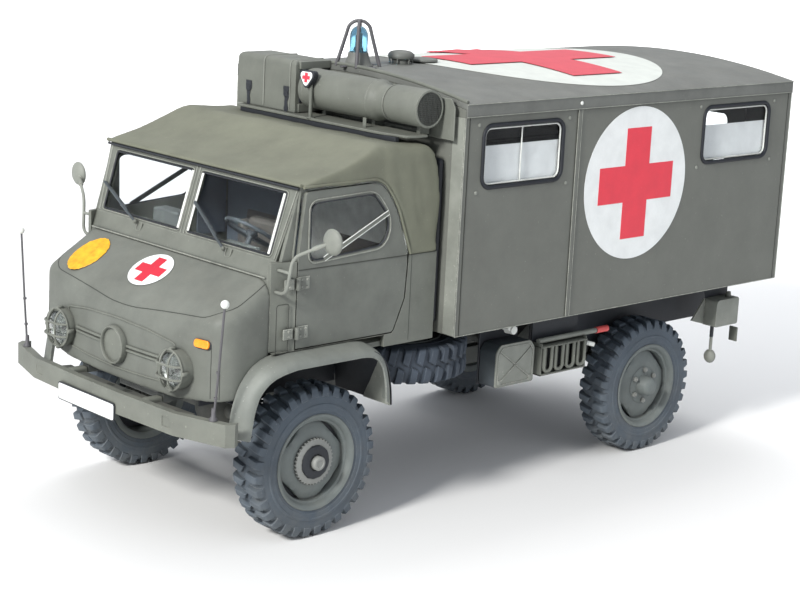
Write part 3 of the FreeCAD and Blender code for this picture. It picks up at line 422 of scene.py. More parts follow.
def build_dust():
    """Mask of settled dust: on upward faces, and low down on the truck."""
    tree, given, result = new_group("settled_dust", {"Up": 0.3, "Low": 0.4}, ["Mask"])
    place = own_place(tree)
    up = add(tree, "ShaderNodeSeparateXYZ",
        {0: add(tree, "ShaderNodeNewGeometry").outputs["Normal"]}).outputs[2]
    height = add(tree, "ShaderNodeSeparateXYZ", {0: place}).outputs[2]
    lying = maths(tree, "MULTIPLY", ramp(tree, up, 0.35, 1.0), given["Up"])
    thrown = maths(tree, "MULTIPLY", ramp(tree, height, 0.026, 0.002), given["Low"])
    cloud = ramp(tree, clouds(tree, place, 240.0, 8.0, 0.7), 0.3, 0.68)
    give(tree, maths(tree, "ADD", lying, thrown), cloud, result["Mask"])
    return tree


EDGE_WEAR, WASH_AND_SHADE, GRAIN, DUST = build_edge_wear(), build_wash_and_shade(), build_grain(), build_dust()


def use(tree, shared, **values):
    """A shared group placed in a material with its own values."""
    node = add(tree, "ShaderNodeGroup", node_tree=shared)
    for label, value in values.items():
        node.inputs[label].default_value = value
    return node.outputs


# ---------------------------------------------------------------- materials

DISPLAY_GAMMA = 2.2


def tint(steps, tone=1.0):
    """Linear colour from the 0 to 255 steps of a display, made darker or paler by the tone."""
    return tuple((step / 255) ** DISPLAY_GAMMA * tone for step in steps) + (1.0,)


def new_material(name, slot):
    material = bpy.data.materials.new(name)
    material.use_nodes = True
    material["slot"] = slot
    tree = material.node_tree
    tree.nodes.clear()
    shader = tree.nodes.new("ShaderNodeBsdfPrincipled")
    output = tree.nodes.new("ShaderNodeOutputMaterial")
    tree.links.new(shader.outputs[0], output.inputs["Surface"])
    return material, tree, shader.inputs


DUST_STEPS = (150, 146, 132)
SPECK_STRENGTH = 0.35
GRAIN_DEPTH = 0.00003


def painted(name, colour, edge, wash, slot="olive_paint", tones=(0.82, 1.14), roughness=0.6, wear=0.6,
        wash_shade_amount=0.7, dust=(0, 0), bump=0.25, metallic=0.0, slow=150.0):
    """Brush-finished model paint: toned base, dry-brushed edges, a dark wash in the seams that also paints
    shade into every shut-in corner, and pale dust.
    """
    material, tree, shader = new_material(name, slot)
    edge, wash = tint(edge), tint(wash)
    grain = use(tree, GRAIN, Slow=slow)
    base = blend_colour(tree, grain["Tone"], tint(colour, tones[0]), tint(colour, tones[1]))
    base = blend_colour(tree, maths(tree, "MULTIPLY", grain["Speck"], SPECK_STRENGTH), base, edge)
    # Wash colour laid by ambient occlusion: partly the model's wash, partly painted shade in corners and
    # recesses.
    base = blend_colour(tree, use(tree, WASH_AND_SHADE, Amount=wash_shade_amount)["Mask"], base, wash)
    base = blend_colour(tree, use(tree, EDGE_WEAR, Amount=wear)["Mask"], base, edge)
    base = blend_colour(tree, use(tree, DUST, Up=dust[0], Low=dust[1])["Mask"], base, tint(DUST_STEPS))
    tree.links.new(base, shader["Base Color"])
    rough = maths(tree, "ADD", maths(tree, "MULTIPLY", grain["Height"], 0.2), roughness - 0.1)
    tree.links.new(rough, shader["Roughness"])
    relief = add(tree, "ShaderNodeBump", {"Strength": bump, "Distance": GRAIN_DEPTH,
        "Height": grain["Height"]})
    tree.links.new(relief.outputs[0], shader["Normal"])
    shader["Metallic"].default_value = metallic
    return material


def clear(name, slot, colour, roughness=0.0, ior=1.45):
    """Clear moulded plastic with faint smears."""
    material, tree, shader = new_material(name, slot)
    shader["Base Color"].default_value = colour
    shader["Transmission Weight"].default_value = 1.0
    shader["IOR"].default_value = ior
    smear = maths(tree, "MULTIPLY", use(tree, GRAIN, Slow=160.0)["Tone"], 0.03)
    tree.links.new(maths(tree, "ADD", smear, roughness), shader["Roughness"])
    surface = tree.nodes["Material Output"].inputs["Surface"]
    lamp_ray = add(tree, "ShaderNodeLightPath").outputs["Is Shadow Ray"]
    through = add(tree, "ShaderNodeBsdfTransparent", {"Color": colour}).outputs[0]
    mix = add(tree, "ShaderNodeMixShader", {0: lamp_ray, 1: surface.links[0].from_socket, 2: through})
    tree.links.new(mix.outputs[0], surface)
    return material


OUTDOORS = {"dust": (0.12, 0.3)}
WHEEL = {"dust": (0.05, 0.2), "wash_shade_amount": 0.9}
TYRE = {"slot": "tyre_black", "roughness": 0.66, "bump": 0.5}
DARK = {"slot": "tyre_black"}
FILM = {"wash_shade_amount": 0.2, "wear": 0.05, "bump": 0.12, "slow": 260.0}
WHITE_FILM = {**FILM, "tones": (0.9, 1.03), "wear": 0.1, "wash_shade_amount": 0.35}
OLIVE = painted("olive_paint", (103, 106, 99), (160, 162, 152), (44, 46, 43), **OUTDOORS)
# Copies of the olive paint, a little darker on the doors and with dimmer pale tones on the nose and hood:
# painted shade for how the light falls on them.
SHADED_DOOR_OLIVE = painted("door_paint_shaded", (101, 104, 98), (160, 162, 152), (42, 44, 41), **OUTDOORS)
SHADED_NOSE_OLIVE = painted("nose_paint_shaded", (100, 103, 97), (128, 130, 122), (42, 44, 41), **OUTDOORS)
BOX_OLIVE = painted("box_paint", (101, 103, 97), (152, 154, 145), (42, 44, 40), tones=(0.9, 1.08),
    wear=0.45, **OUTDOORS)
# Paler copy of the olive paint for the fenders: partly the dry-brushed paint, partly a painted highlight
# for the sheen on the rolled arches.
SHEEN_FENDER_OLIVE = painted("fender_paint_painted_sheen", (110, 114, 109), (186, 187, 180), (48, 50, 48), tones=(0.84, 1.2),
    wear=0.8, **OUTDOORS)
LIGHT_OLIVE = painted("dry_brushed_paint", (124, 127, 120), (190, 190, 180), (54, 56, 52), tones=(0.8, 1.2),
    wear=0.9, **OUTDOORS)
RIM_OLIVE = painted("rim_paint", (100, 107, 106), (140, 143, 138), (34, 37, 38), tones=(0.82, 1.15),
    wear=0.7, **WHEEL)
RIM_LIGHT = painted("hub_paint", (134, 136, 133), (166, 168, 162), (40, 43, 43), tones=(0.8, 1.2), wear=0.9,
    **WHEEL)
ROOF_OLIVE = painted("roof_paint", (102, 104, 100), (160, 161, 154), (50, 51, 48), dust=(0.12, 0.0))
# Darker olive for the parts under the truck and the deck under the nose: its darkness is painted shade for
# the shadow they lie in.
SHADED_UNDER_OLIVE = painted("underbody_paint_painted_shade", (66, 70, 69), (124, 125, 118), (26, 28, 29), dust=(0.2, 0.5),
    wash_shade_amount=0.9)
CANVAS = painted("soft_top_paint", (105, 107, 93), (150, 151, 134), (54, 56, 48), "soft_top_paint",
    tones=(0.86, 1.12), roughness=0.72, wear=0.5, bump=0.45, dust=(0.06, 0.0))
RUBBER = painted("tyre_rubber", (71, 81, 91), (122, 130, 136), (24, 27, 32), wash_shade_amount=0.85, dust=(0.04, 0.2),
    **TYRE)
# Darker copy of the tyre rubber for the spare, which sits in shadow under the box: painted shade.
SHADED_SPARE_RUBBER = painted("spare_tyre_rubber_shaded", (58, 66, 76), (112, 122, 130), (16, 18, 22), wash_shade_amount=1.0,
    dust=(0.02, 0.0), **TYRE)
SEAL = painted("window_rubber", (26, 30, 37), (60, 64, 70), (16, 18, 20), **DARK)
BLACK = painted("black_paint", (40, 43, 48), (84, 88, 92), (14, 15, 17), **DARK)
SLATE = painted("slate_paint", (62, 68, 72), (110, 116, 118), (24, 27, 29), **DARK)
ROD = painted("rod_paint", (84, 83, 86), (130, 130, 128), (36, 36, 38), **DARK)
SEAM = painted("seam_wash", (58, 60, 56), (84, 86, 80), (30, 32, 30), wear=0.2)
SEAT = painted("seat_paint", (82, 79, 75), (150, 146, 134), (32, 30, 26), "seat_paint")
INTERIOR = painted("interior_paint", (84, 88, 87), (120, 124, 120), (50, 52, 48))
# Paler lining colour for the dim cab: painted light.
LIT_CAB_LINING = painted("cab_lining_painted_light", (88, 97, 107), (110, 116, 118), (40, 44, 48))
WHITE = painted("white_marking", (228, 231, 230), (248, 248, 245), (150, 152, 148), roughness=0.42,
    **WHITE_FILM)
# Darker copies of the white and red film for the roof marking, which faces the top light: painted shade.
SHADED_WHITE = painted("roof_white_marking_shaded", (208, 212, 205), (236, 238, 232), (140, 142, 138),
    **WHITE_FILM)
RED = painted("red_marking", (220, 56, 72), (232, 110, 120), (150, 30, 40), tones=(0.93, 1.04),
    roughness=0.42, **FILM)
SHADED_RED = painted("roof_red_marking_shaded", (204, 74, 86), (222, 130, 136), (150, 30, 40), tones=(0.93, 1.06),
    **FILM)
# Darker copy of the red film for the hood cross, which faces the top light: painted shade.
SHADED_HOOD_RED = painted("hood_marking_red_shaded", (192, 40, 58), (206, 84, 96), (140, 28, 38), tones=(0.93, 1.04),
    roughness=0.5, **FILM)
TRIM_WHITE = painted("white_edge_paint", (206, 209, 204), (238, 238, 232), (112, 115, 108), roughness=0.5,
    wear=0.2, slow=500.0)
RED_END = painted("red_lacquer", (206, 82, 80), (232, 150, 140), (110, 30, 30), slow=400.0)
YELLOW = painted("yellow_brushwork", (228, 166, 34), (246, 206, 100), (120, 74, 20), tones=(0.62, 1.2),
    roughness=0.5, wear=0.3, wash_shade_amount=0.8, bump=0.9, slow=620.0)
ORANGE = painted("orange_lens", (236, 140, 40), (255, 200, 120), (150, 70, 10), tones=(0.8, 1.25),
    roughness=0.3, bump=0.1, slow=700.0)
SILVER = painted("lamp_silver", (128, 133, 130), (220, 220, 214), (90, 94, 96), "lamp_silver",
    roughness=0.28, metallic=0.9, bump=0.1)
FROST = painted("frosted_film", (232, 232, 230), (244, 244, 242), (160, 164, 170), "clear_plastic",
    tones=(0.88, 1.05), roughness=0.5, wear=0.0, wash_shade_amount=0.2, bump=0.2, slow=300.0)
MESH_GREY = painted("mesh_grille", (160, 168, 168), (150, 154, 150), (40, 42, 42))
GLASS = clear("clear_plastic", "clear_plastic", (0.93, 0.95, 0.96, 1.0), ior=1.2)
LENS = clear("lamp_lens", "clear_plastic", (0.97, 0.98, 0.97, 1.0))
BLUE = clear("blue_lens", "blue_clear_plastic", tint((182, 220, 236)), roughness=0.05)


# ---------------------------------------------------------------- pieces that start from CAD nodes

def islands(bm):
    """Lists of vertices, one for each connected part."""
    left, groups = set(bm.verts), []
    while left:
        group, edge = [], [left.pop()]
        while edge:
            vert = edge.pop()
            group.append(vert)
            fresh = {line.other_vert(vert) for line in vert.link_edges} & left
            left -= fresh
            edge += fresh
        groups.append(group)
    return groups


def node_mesh(node):
    """Merged copy of a CAD node's mesh, in working units, with its flat faces whole."""
    bm = bmesh.new()
    bm.from_mesh(frame["nodes"][node].data)
    bmesh.ops.remove_doubles(bm, verts=bm.verts, dist=1e-7)
    bmesh.ops.transform(bm, matrix=FROM_FRAME, verts=bm.verts)
    bmesh.ops.dissolve_limit(bm, angle_limit=math.radians(0.8), verts=bm.verts, edges=bm.edges)
    return bm


def round_corners(bm, corners):
    """Rounds the outline's corners at these (Y, Z) places, each by its own reach."""
    for y, z, reach in corners:
        spot = Vector((y, z))
        picked = [edge for edge in bm.edges if all((vert.co.yz - spot).length < 2 for vert in edge.verts)]
        round_edges(bm, picked, reach, 7)


HARD_ANGLE = math.radians(32)


def dressed(nodes, material, width, segments=2, corners=()):
    """The CAD nodes' shapes as pieces with rounded edges."""
    for node in nodes:
        bm = node_mesh(node)
        round_corners(bm, corners)
        for group in islands(bm):
            hard = [edge for edge in edges_of(group)
                if edge.is_manifold and edge.calc_face_angle() > HARD_ANGLE]
            if hard:
                round_edges(bm, hard, width, segments)
        piece(node + "_shape", bm, material, body_of(frame["nodes"][node])[0], smooth=38,
            replaces=(node,), weighted=True)


def finish(nodes, material):
    """Gives CAD nodes that keep their own mesh a material."""
    for node in nodes:
        thing = frame["nodes"][node]
        if not thing.data.materials:
            thing.data.materials.append(material)
        for cell in thing.material_slots:
            cell.material = material


dressed(["chassis_frame", "tow_coupling", "box_subframe", "box_floor", "stretcher_racks"], SHADED_UNDER_OLIVE, 4)
dressed(["knuckle_left", "knuckle_right"], SHADED_UNDER_OLIVE, 3)
dressed(["engine_gearbox"], SHADED_UNDER_OLIVE, 12)
dressed(["fuel_tank"], SHADED_UNDER_OLIVE, 14)
dressed(["bumper"], OLIVE, 13)
dressed(["cab_tub", "windscreen_frame"], OLIVE, 5)
dressed(["cab_door_left", "cab_door_right"], SHADED_DOOR_OLIVE, 5, corners=[(518, 1892, 95), (400, 2034, 70),
    (-150, 2024, 20), (630, 1590, 60)])
dressed(["box_front_wall"], BOX_OLIVE, 5)
dressed(["box_left_wall", "box_right_wall", "box_rear_frame"], BOX_OLIVE, 4)
dressed(["rear_door_left", "rear_door_right"], BOX_OLIVE, 6)
dressed(["box_roof"], ROOF_OLIVE, 6)
dressed(["cab_seats"], SEAT, 26, segments=4)
finish(["front_axle", "rear_axle", "dampers", "tie_rod", "exhaust"], SHADED_UNDER_OLIVE)
finish(["windscreen_glass", "door_glass_left", "door_glass_right", "rear_glass_left", "rear_glass_right"],
    GLASS)


# ---------------------------------------------------------------- fenders and their liners

ARCH_LINE = [(-622, 704), (-590, 900), (-520, 1030), (-420, 1105), (-300, 1132), (250, 1132), (350, 1105),
    (420, 1030), (458, 900), (468, 776)]
FENDER_IN, FENDER_IN_REAR, FENDER_OUT, FENDER_TIP = 887, 932, 1055, 1010
FENDER_SECTION = [(0, 0), (44, -1), (80, -6), (116, -14), (144, -25), (160, -38), (168, -54), (168, -67),
    (160, -70), (152, -60), (142, -48), (112, -34), (72, -26), (0, -22)]
LINER_IN, LINER_OUT, LINER_OUT_REAR = 548, 900, 1042
FLAP_WIDTH, FLAP_EDGE = 225, 1036
SPLASH_WALL = [(-560, 780), (-560, 940), (-400, 1056), (-290, 1080), (230, 1080), (330, 1050), (430, 930),
    (440, 780)]


def fender():
    """Rolled arch: one rounded section carried round the wheel opening."""
    line = divided(softened(lay("x", 0, ARCH_LINE), 150, 8, closed=False), 30)
    bm = bmesh.new()
    edges = None
    for i, spot in enumerate(line):
        along = (line[min(i + 1, len(line) - 1)] - line[max(i - 1, 0)]).normalized()
        outward = Vector((0, -along.z, along.y))
        start = FENDER_IN if spot.y < 290 else FENDER_IN_REAR
        narrowing = min(1, max(0, (-360 - spot.y) / 200))
        reach = FENDER_OUT - (FENDER_OUT - FENDER_TIP) * narrowing
        scale = (reach - FENDER_IN) / (FENDER_OUT - FENDER_IN)
        ring = [spot + AXIS_X * max(start, FENDER_IN + x * scale) + outward * lift
            for x, lift in FENDER_SECTION]
        if edges is None:
            verts = [bm.verts.new(point) for point in ring]
            bm.faces.new(verts)
            edges = edges_of(verts)
            continue
        fresh, edges = next_ring(bm, edges)
        for vert, point in zip(fresh, ring):
            vert.co = point
    bmesh.ops.edgeloop_fill(bm, edges=edges)
    return bm


def arch_liner(line):
    """Sheet under the fender that carries on inwards to the splash wall; it is black as painted shade."""
    bm = bmesh.new()
    front = [bm.verts.new((LINER_IN, spot.y + (14 if spot.y < 0 else -14), spot.z)) for spot in line]
    edges = [bm.edges.new(pair) for pair in zip(front, front[1:])]
    for vert in next_ring(bm, edges)[0]:
        vert.co.x = LINER_OUT_REAR if vert.co.y > 296 else LINER_OUT
    for vert in thickened(bm, bm.faces[:]):
        vert.co.z -= 5
        vert.co.y *= 0.99
    return bm


def fender_flap(line):
    """Flap behind the wheel, wider towards its foot."""
    bm = bmesh.new()
    rows = []
    for index, spot in enumerate(line):
        width = 6 + FLAP_WIDTH * index / (len(line) - 1)
        rows.append([bm.verts.new((x, spot.y - 26, spot.z - 8)) for x in (FLAP_EDGE, FLAP_EDGE - width)])
    for row, after in zip(rows, rows[1:]):
        bm.faces.new((*row, *reversed(after)))
    bmesh.ops.translate(bm, verts=thickened(bm, bm.faces[:]), vec=AXIS_Y * 4)
    return bm


for hand, flank in SIDES:
    line = divided(softened([(0, y, z - 26) for y, z in ARCH_LINE[1:]], 130, 6, closed=False), 40)
    # Liners and their walls are black: painted shade under the fenders.
    piece("shaded_arch_liner_" + flank, arch_liner(line), BLACK, smooth=50, place=handed(hand))
    piece("fender_flap_" + flank, fender_flap([spot for spot in line if spot.y > 380]), LIGHT_OLIVE,
        smooth=50, place=handed(hand))
    build("shaded_arch_liner_" + flank + "_wall", BLACK, (slab, "x", hand * 540, SPLASH_WALL, hand * 8))
    piece("fender_" + flank, fender(), SHEEN_FENDER_OLIVE, replaces=("front_fenders",) if hand > 0 else (),
        smooth=50, place=handed(hand))


# ---------------------------------------------------------------- wheels

LUGS = 32
LUG_LENGTH = 54
TREAD_RADIUS = 448
LUG_OUTLINE = [(14, 416), (14, 443), (26, TREAD_RADIUS), (88, TREAD_RADIUS), (103, 438), (110, 408),
    (110, 388), (98, 384), (90, 414)]
TYRE_WALL = [(262, 88), (272, 98), (285, 104), (302, 106), (305, 109), (330, 110), (334, 113), (344, 113),
    (349, 109), (385, 108), (402, 103), (416, 92), (423, 60), (426, 0)]
BARREL = [(283, 100), (286, 106), (280, 111), (268, 108), (258, 100), (250, 80), (238, 74), (234, 60),
    (234, -60), (242, -94), (262, -106), (280, -108), (283, -94), (264, -88), (262, -60), (262, 60),
    (264, 88)]
DISC = [(60, 72), (148, 72), (178, 69), (202, 61), (222, 52), (236, 49), (236, 41), (220, 43), (198, 51),
    (174, 59), (60, 60)]
FLAT_REACH = 205


def lug(bm, hand):
    """One tread block: it wraps over the shoulder, narrows upwards and has a slanted inner end."""
    before = set(bm.verts)
    made = slab(bm, "y", -LUG_LENGTH / 2, [(hand * x, r) for x, r in LUG_OUTLINE], LUG_LENGTH)
    for vert in made:
        x, y, r = vert.co
        if r > 430:
            y *= 0.78
        if abs(x) < 30:
            x += y * 0.5
        vert.co = (x, y + hand * (62 - abs(x)) * 0.2, r)
    round_edges(bm, edges_of(made), 3, 1)
    return since(bm, before)


def tyre(name, place, body, node, twist, rubber=RUBBER):
    """Bar-tread tyre about the X axis at the origin, then brought to its place."""
    bm = bmesh.new()
    section = TYRE_WALL + [(radius, -offset) for radius, offset in reversed(TYRE_WALL[:-1])]
    lathe(bm, section, ORIGIN, AXIS_X, LUGS * 3, closed=True)
    for hand in (1, -1):
        made = lug(bm, hand)
        turn = Matrix.Rotation(math.pi / LUGS if hand < 0 else 0, 3, "X")
        bmesh.ops.rotate(bm, verts=made, matrix=turn)
        around(bm, LUGS, made)
    bmesh.ops.rotate(bm, verts=bm.verts, matrix=Matrix.Rotation(twist, 3, "X"))
    piece(name, bm, rubber, body, smooth=32, replaces=(node,), weighted=True, place=place)


def wheel_rim(name, place, body, nodes=()):
    """Barrel with a rolled lip, and a dished disc whose edge has four flats."""
    bm = bmesh.new()
    lathe(bm, BARREL, ORIGIN, AXIS_X, 72, closed=True)
    for vert in lathe(bm, DISC, ORIGIN, AXIS_X, 96, closed=True):
        for angle in (45, 135, 225, 315):
            way = Vector((0, math.cos(math.radians(angle)), math.sin(math.radians(angle))))
            vert.co -= way * max(0, vert.co.dot(way) - FLAT_REACH)
    piece(name + "_disc", bm, RIM_OLIVE, body, smooth=40, replaces=nodes, place=place)
    build(name + "_shade_ring", BLACK, (lathe, [(100, 24), (233, 24), (233, 28), (100, 28)], ORIGIN, AXIS_X,
        48, True), body=body, smooth=40, place=place)


def front_hub(name, **settings):
    """Knurled portal flange, rubber gaiter ring and bright cap."""
    build(name + "_flange", RIM_LIGHT, (lathe, [(0, 50), (128, 50), (132, 54), (132, 88), (124, 94),
        (60, 96), (0, 96)], ORIGIN, AXIS_X, 72), (wreath, 36, (block, (55, -5, 126), (90, 5, 139), 2, 1)),
        smooth=40, **settings)
    bm = bmesh.new()
    ring = lathe(bm, [(50, 92), (97, 92), (100, 98), (94, 108), (74, 113), (50, 112)], ORIGIN, AXIS_X, 48,
        True)
    for vert in ring:
        uneven = 0.05 * noise.noise(vert.co * 0.05)
        vert.co += Vector((0, vert.co.y, vert.co.z)) * uneven
    piece(name + "_ring", bm, BLACK, smooth=50, **settings)
    build(name + "_cap", RIM_LIGHT, (lathe, [(0, 100), (42, 100), (42, 134), (38, 140), (26, 142),
        (22, 138), (0, 138)], ORIGIN, AXIS_X, 40), smooth=40, **settings)


def rear_hub(name, **settings):
    """Bolted flange with six nuts and a tapered cap."""
    build(name + "_flange", RIM_OLIVE, (lathe, [(0, 50), (126, 50), (130, 56), (126, 74), (118, 80),
        (72, 84), (66, 96), (62, 138), (52, 152), (30, 159), (0, 161)], ORIGIN, AXIS_X, 64), smooth=40,
        **settings)
    build(name + "_nuts", RIM_LIGHT, (wreath, 6, (bar, (74, 0, 106), (96, 0, 106), 17, None, 6),
        (bar, (90, 0, 106), (104, 0, 106), 8, 7, 10)), smooth=30, **settings)


for end, twist, hub in (("front", 0.05, front_hub), ("rear", 0.02, rear_hub)):
    for hand, flank in SIDES:
        label = end + "_" + flank
        where = Matrix.Translation(middle("tyre_" + label)) @ handed(hand)
        tyre("tread_" + label, where, "wheel_" + label, "tyre_" + label, twist)
        wheel_rim("rim_" + label, where, "wheel_" + label, ("rim_" + label,))
        hub("hub_" + label, place=where, body="wheel_" + label)
where = Matrix.Translation(middle("spare_wheel")) @ Matrix.Rotation(-math.pi / 2, 4, "Y")
tyre("spare_tread", where, "chassis", "spare_wheel", 0.03, SHADED_SPARE_RUBBER)
wheel_rim("spare_rim", where, "chassis")


# ---------------------------------------------------------------- nose

NOSE_FRONT = -745
NOSE_CURVE = 5200
NOSE_VOXEL = 9
LAMP_X, LAMP_Z, GUARD_RADIUS = 562, 1028, 113
HOOD_SLOPE = 0.612
DOWN = -AXIS_Z


def remeshed(bm, voxel):
    """The shape with an even net of vertices, so that it can be smoothed and creased."""
    mesh = bpy.data.meshes.new("remesh_input")
    bmesh.ops.triangulate(bm, faces=bm.faces)
    bm.to_mesh(mesh)
    bm.free()
    holder = bpy.data.objects.new("remesh_input", mesh)
    bpy.context.scene.collection.objects.link(holder)
    net = holder.modifiers.new("net", "REMESH")
    net.mode, net.voxel_size = "VOXEL", voxel
    evaluated = holder.evaluated_get(bpy.context.evaluated_depsgraph_get())
    result = bmesh.new()
    result.from_mesh(evaluated.to_mesh())
    evaluated.to_mesh_clear()
    bpy.data.objects.remove(holder)
    bpy.data.meshes.remove(mesh)
    return result


def smoothed(bm, verts, times):
    for _ in range(times):
        bmesh.ops.smooth_vert(bm, verts=verts, factor=0.5, use_axis_x=True, use_axis_y=True,
            use_axis_z=True)


def nose_face(x):
    """Y of the flat part of the nose at that X."""
    return NOSE_FRONT + NOSE_CURVE - math.sqrt(NOSE_CURVE ** 2 - x * x)


def nose_shell():
    """Nose panel and hood lid as one moulded shell, with flat seats for the lamps."""
    bm = node_mesh("nose_panel")
    bmesh.ops.triangulate(bm, faces=bm.faces)
    other = node_mesh("bonnet")
    lid = bpy.data.meshes.new("lid")
    other.to_mesh(lid)
    other.free()
    bm.from_mesh(lid)
    bpy.data.meshes.remove(lid)
    for hand in (1, -1):
        seat = Vector((hand * LAMP_X, nose_face(LAMP_X), LAMP_Z))
        facing = Vector((hand * LAMP_X / NOSE_CURVE, -1, 0))
        lathe(bm, [(0, 3), (142, 3), (142, -25), (0, -25)], seat, facing, 48)
    bm = remeshed(bm, NOSE_VOXEL)
    for vert in bm.verts:
        if vert.co.y < nose_face(vert.co.x) and vert.co.z < 1175:
            vert.co.y = nose_face(vert.co.x)
    # The corner between nose and hood is rolled, then the whole front is eased
    smoothed(bm, [vert for vert in bm.verts if vert.co.z > 1090 and vert.co.y < -372], 34)
    smoothed(bm, [vert for vert in bm.verts if vert.co.y < -360], 3)
    return bm


bm = nose_shell()
NOSE = BVHTree.FromBMesh(bm)
piece("nose_shell", bm, SHADED_NOSE_OLIVE, smooth=60, replaces=("nose_panel", "bonnet"))


def on_nose(point, way, lift=0.0):
    """Where a line from the point along the way meets the nose shell, lifted off it."""
    place, normal = NOSE.ray_cast(Vector(point), way)[:2]
    return place - normal * math.copysign(lift, normal.dot(way))


def drawn(points, way, lift):
    """Points carried along the way onto the nose, from well outside it."""
    return [on_nose(point - way * 3000, way, lift) for point in points]


# Seam of the lid, filled with wash, and the raised bead round the lamps
lid = softened([(-846, -352), (-838, -656), (0, -716), (838, -656), (846, -352)], 170, 9, closed=False)
build("lid_seam", SEAM, (pipe, drawn(divided(lay("z", 0, lid), 12), DOWN, 0.3), 2.2, 6), smooth=60)
bead = softened([(-540, 1158), (-300, 1192), (0, 1202), (300, 1192), (540, 1158), (510, 1100), (500, 1028),
    (505, 965), (530, 930), (300, 918), (0, 911), (-300, 918), (-530, 930), (-505, 965), (-500, 1028),
    (-510, 1100)], 60, 5)
build("grille_bead", OLIVE, (loop, drawn(divided(lay("y", 0, bead), 14, closed=True), AXIS_Y, 0.5), 6.5, 8),
    smooth=60)

# Plain badge ring and the strips beside it
build("badge_disc", OLIVE, (lathe, [(0, 0), (96, 0), (97, 10), (99, 18), (103, 21), (108, 18), (111, 8),
    (111, -22), (0, -22)], (0, NOSE_FRONT - 18, 1045), -AXIS_Y, 64), smooth=40)
strips = [[(hand * x, nose_face(x) - 4, z) for x in range(104, 417, 24)] for z in (1034, 1058)
    for hand in (1, -1)]
build("grille_strips", OLIVE, *[(pipe, strip, 9, 10) for strip in strips],
    *[(ball, strip[-1], 9, (1, 1, 1), 10) for strip in strips], smooth=60)


def lamp_guard(bm, centre):
    """Wire ring on four feet, with two upright and two level bows over the lens."""
    loop(bm, circle(centre - AXIS_Y * 30, AXIS_X * GUARD_RADIUS, AXIS_Z * GUARD_RADIUS, 48), 7, 8)
    shares = [i / 6 - 1 for i in range(13)]
    for offset in (-38, 38):
        reach = math.sqrt(GUARD_RADIUS ** 2 - offset ** 2)
        bows = [(share * reach, -30 - 42 * (1 - share ** 4)) for share in shares]
        pipe(bm, [centre + Vector((offset, depth, along)) for along, depth in bows], 7, 6)
        pipe(bm, [centre + Vector((along, depth - 5, offset)) for along, depth in bows], 7, 6)
    for way in (AXIS_X, AXIS_Z, -AXIS_X, -AXIS_Z):
        foot = centre + way * 118
        block(bm, foot - Vector((11, 34, 11)), foot + Vector((11, 8, 11)), 3, 1)


# Headlights, corner indicators and corner seams
for hand, flank in SIDES:
    centre = Vector((hand * LAMP_X, nose_face(LAMP_X) - 32, LAMP_Z))
    build("lamp_rim_" + flank, OLIVE, (lathe, [(118, -62), (112, -30), (113, -6), (115, 14), (112, 26),
        (106, 31), (99, 29), (96, 18), (96, -62)], centre, -AXIS_Y, 56, True),
        replaces=("headlights",) if hand > 0 else (), smooth=45)
    build("lamp_reflector_" + flank, SILVER, (lathe, [(97, 20), (92, 6), (74, -4), (46, -10), (16, -13),
        (0, -13), (0, -16), (60, -14), (97, -6)], centre, -AXIS_Y), (lathe,
        [(0, -12), (13, -10), (13, 6), (8, 12), (0, 13)], centre, -AXIS_Y, 16), smooth=50)
    build("lamp_lens_" + flank, LENS, (lathe, [(0, 54), (34, 51), (64, 44), (84, 34), (97, 24), (97, 20),
        (82, 28), (62, 38), (34, 45), (0, 48)], centre, -AXIS_Y, 56), smooth=50)
    build("lamp_guard_" + flank, OLIVE, (lamp_guard, centre), smooth=50)
    facing = Vector((0.17, -0.97, 0.16) if hand > 0 else (-0.99, -0.1, 0.08)).normalized()
    along = facing.cross(AXIS_Z).normalized()
    lift = facing.cross(along)
    spot = Vector((742, nose_face(742), 1203)) if hand > 0 else on_nose((-2000, -440, 1203), AXIS_X)
    for label, half, high, start, depth, paint in (("base", 62, 29, 8, 10, BLACK),
            ("lens", 55, 23, -1, 15, ORANGE)):
        outline = softened([(-half, -high), (half, -high), (half, high), (-half, high)], high * 0.8, 5)
        outline = [spot - facing * start + along * x + lift * y for x, y in outline]
        build("indicator_" + label + "_" + flank, paint, (plate, outline, facing * depth, 5, 3),
            slot="olive_paint", smooth=50)
seams = [divided([Vector((hand * x, 0, 905)), Vector((hand * x, 0, 1190))], 14) for hand in (1, -1)
    for x in (802, 846)]
build("nose_corner_seams", SEAM, *[(pipe, drawn(seam, AXIS_Y, 0.2), 2, 6) for seam in seams], smooth=60)

# Blank number plate, and the deck between nose and bumper with its slots, whose dark patches are painted
# shade in the openings
blank = softened([(-390, 650), (-390, 757), (183, 757), (183, 650)], 14, 3)
build("number_plate_edge", BLACK, (slab, "y", -872, blank, -8, 1.5, 1))
blank = softened([(-383, 657), (-383, 750), (176, 750), (176, 657)], 12, 3)
build("number_plate_blank", WHITE, (slab, "y", -879, blank, -3, 1, 1))
deck = [(-520, -704), (-560, -850), (-400, -856), (0, -862), (400, -856), (690, -842), (700, -700),
    (420, -716), (0, -722), (-420, -716)]
build("bumper_deck", SHADED_UNDER_OLIVE, (slab, "z", 790, deck, 9, 2, 1), weighted=True)
slots = [(-380, -790, 26), (-40, -800, 30), (-40, -750, 30), (640, -760, 60)]
build("deck_slot_shade", SEAM, *[(block, (x - wide, y - 11, 797), (x + wide, y + 11, 801), 1, 1)
    for x, y, wide in slots], (slab, "z", 797, [(85, -735), (160, -735), (122, -800)], 4, 1, 1))

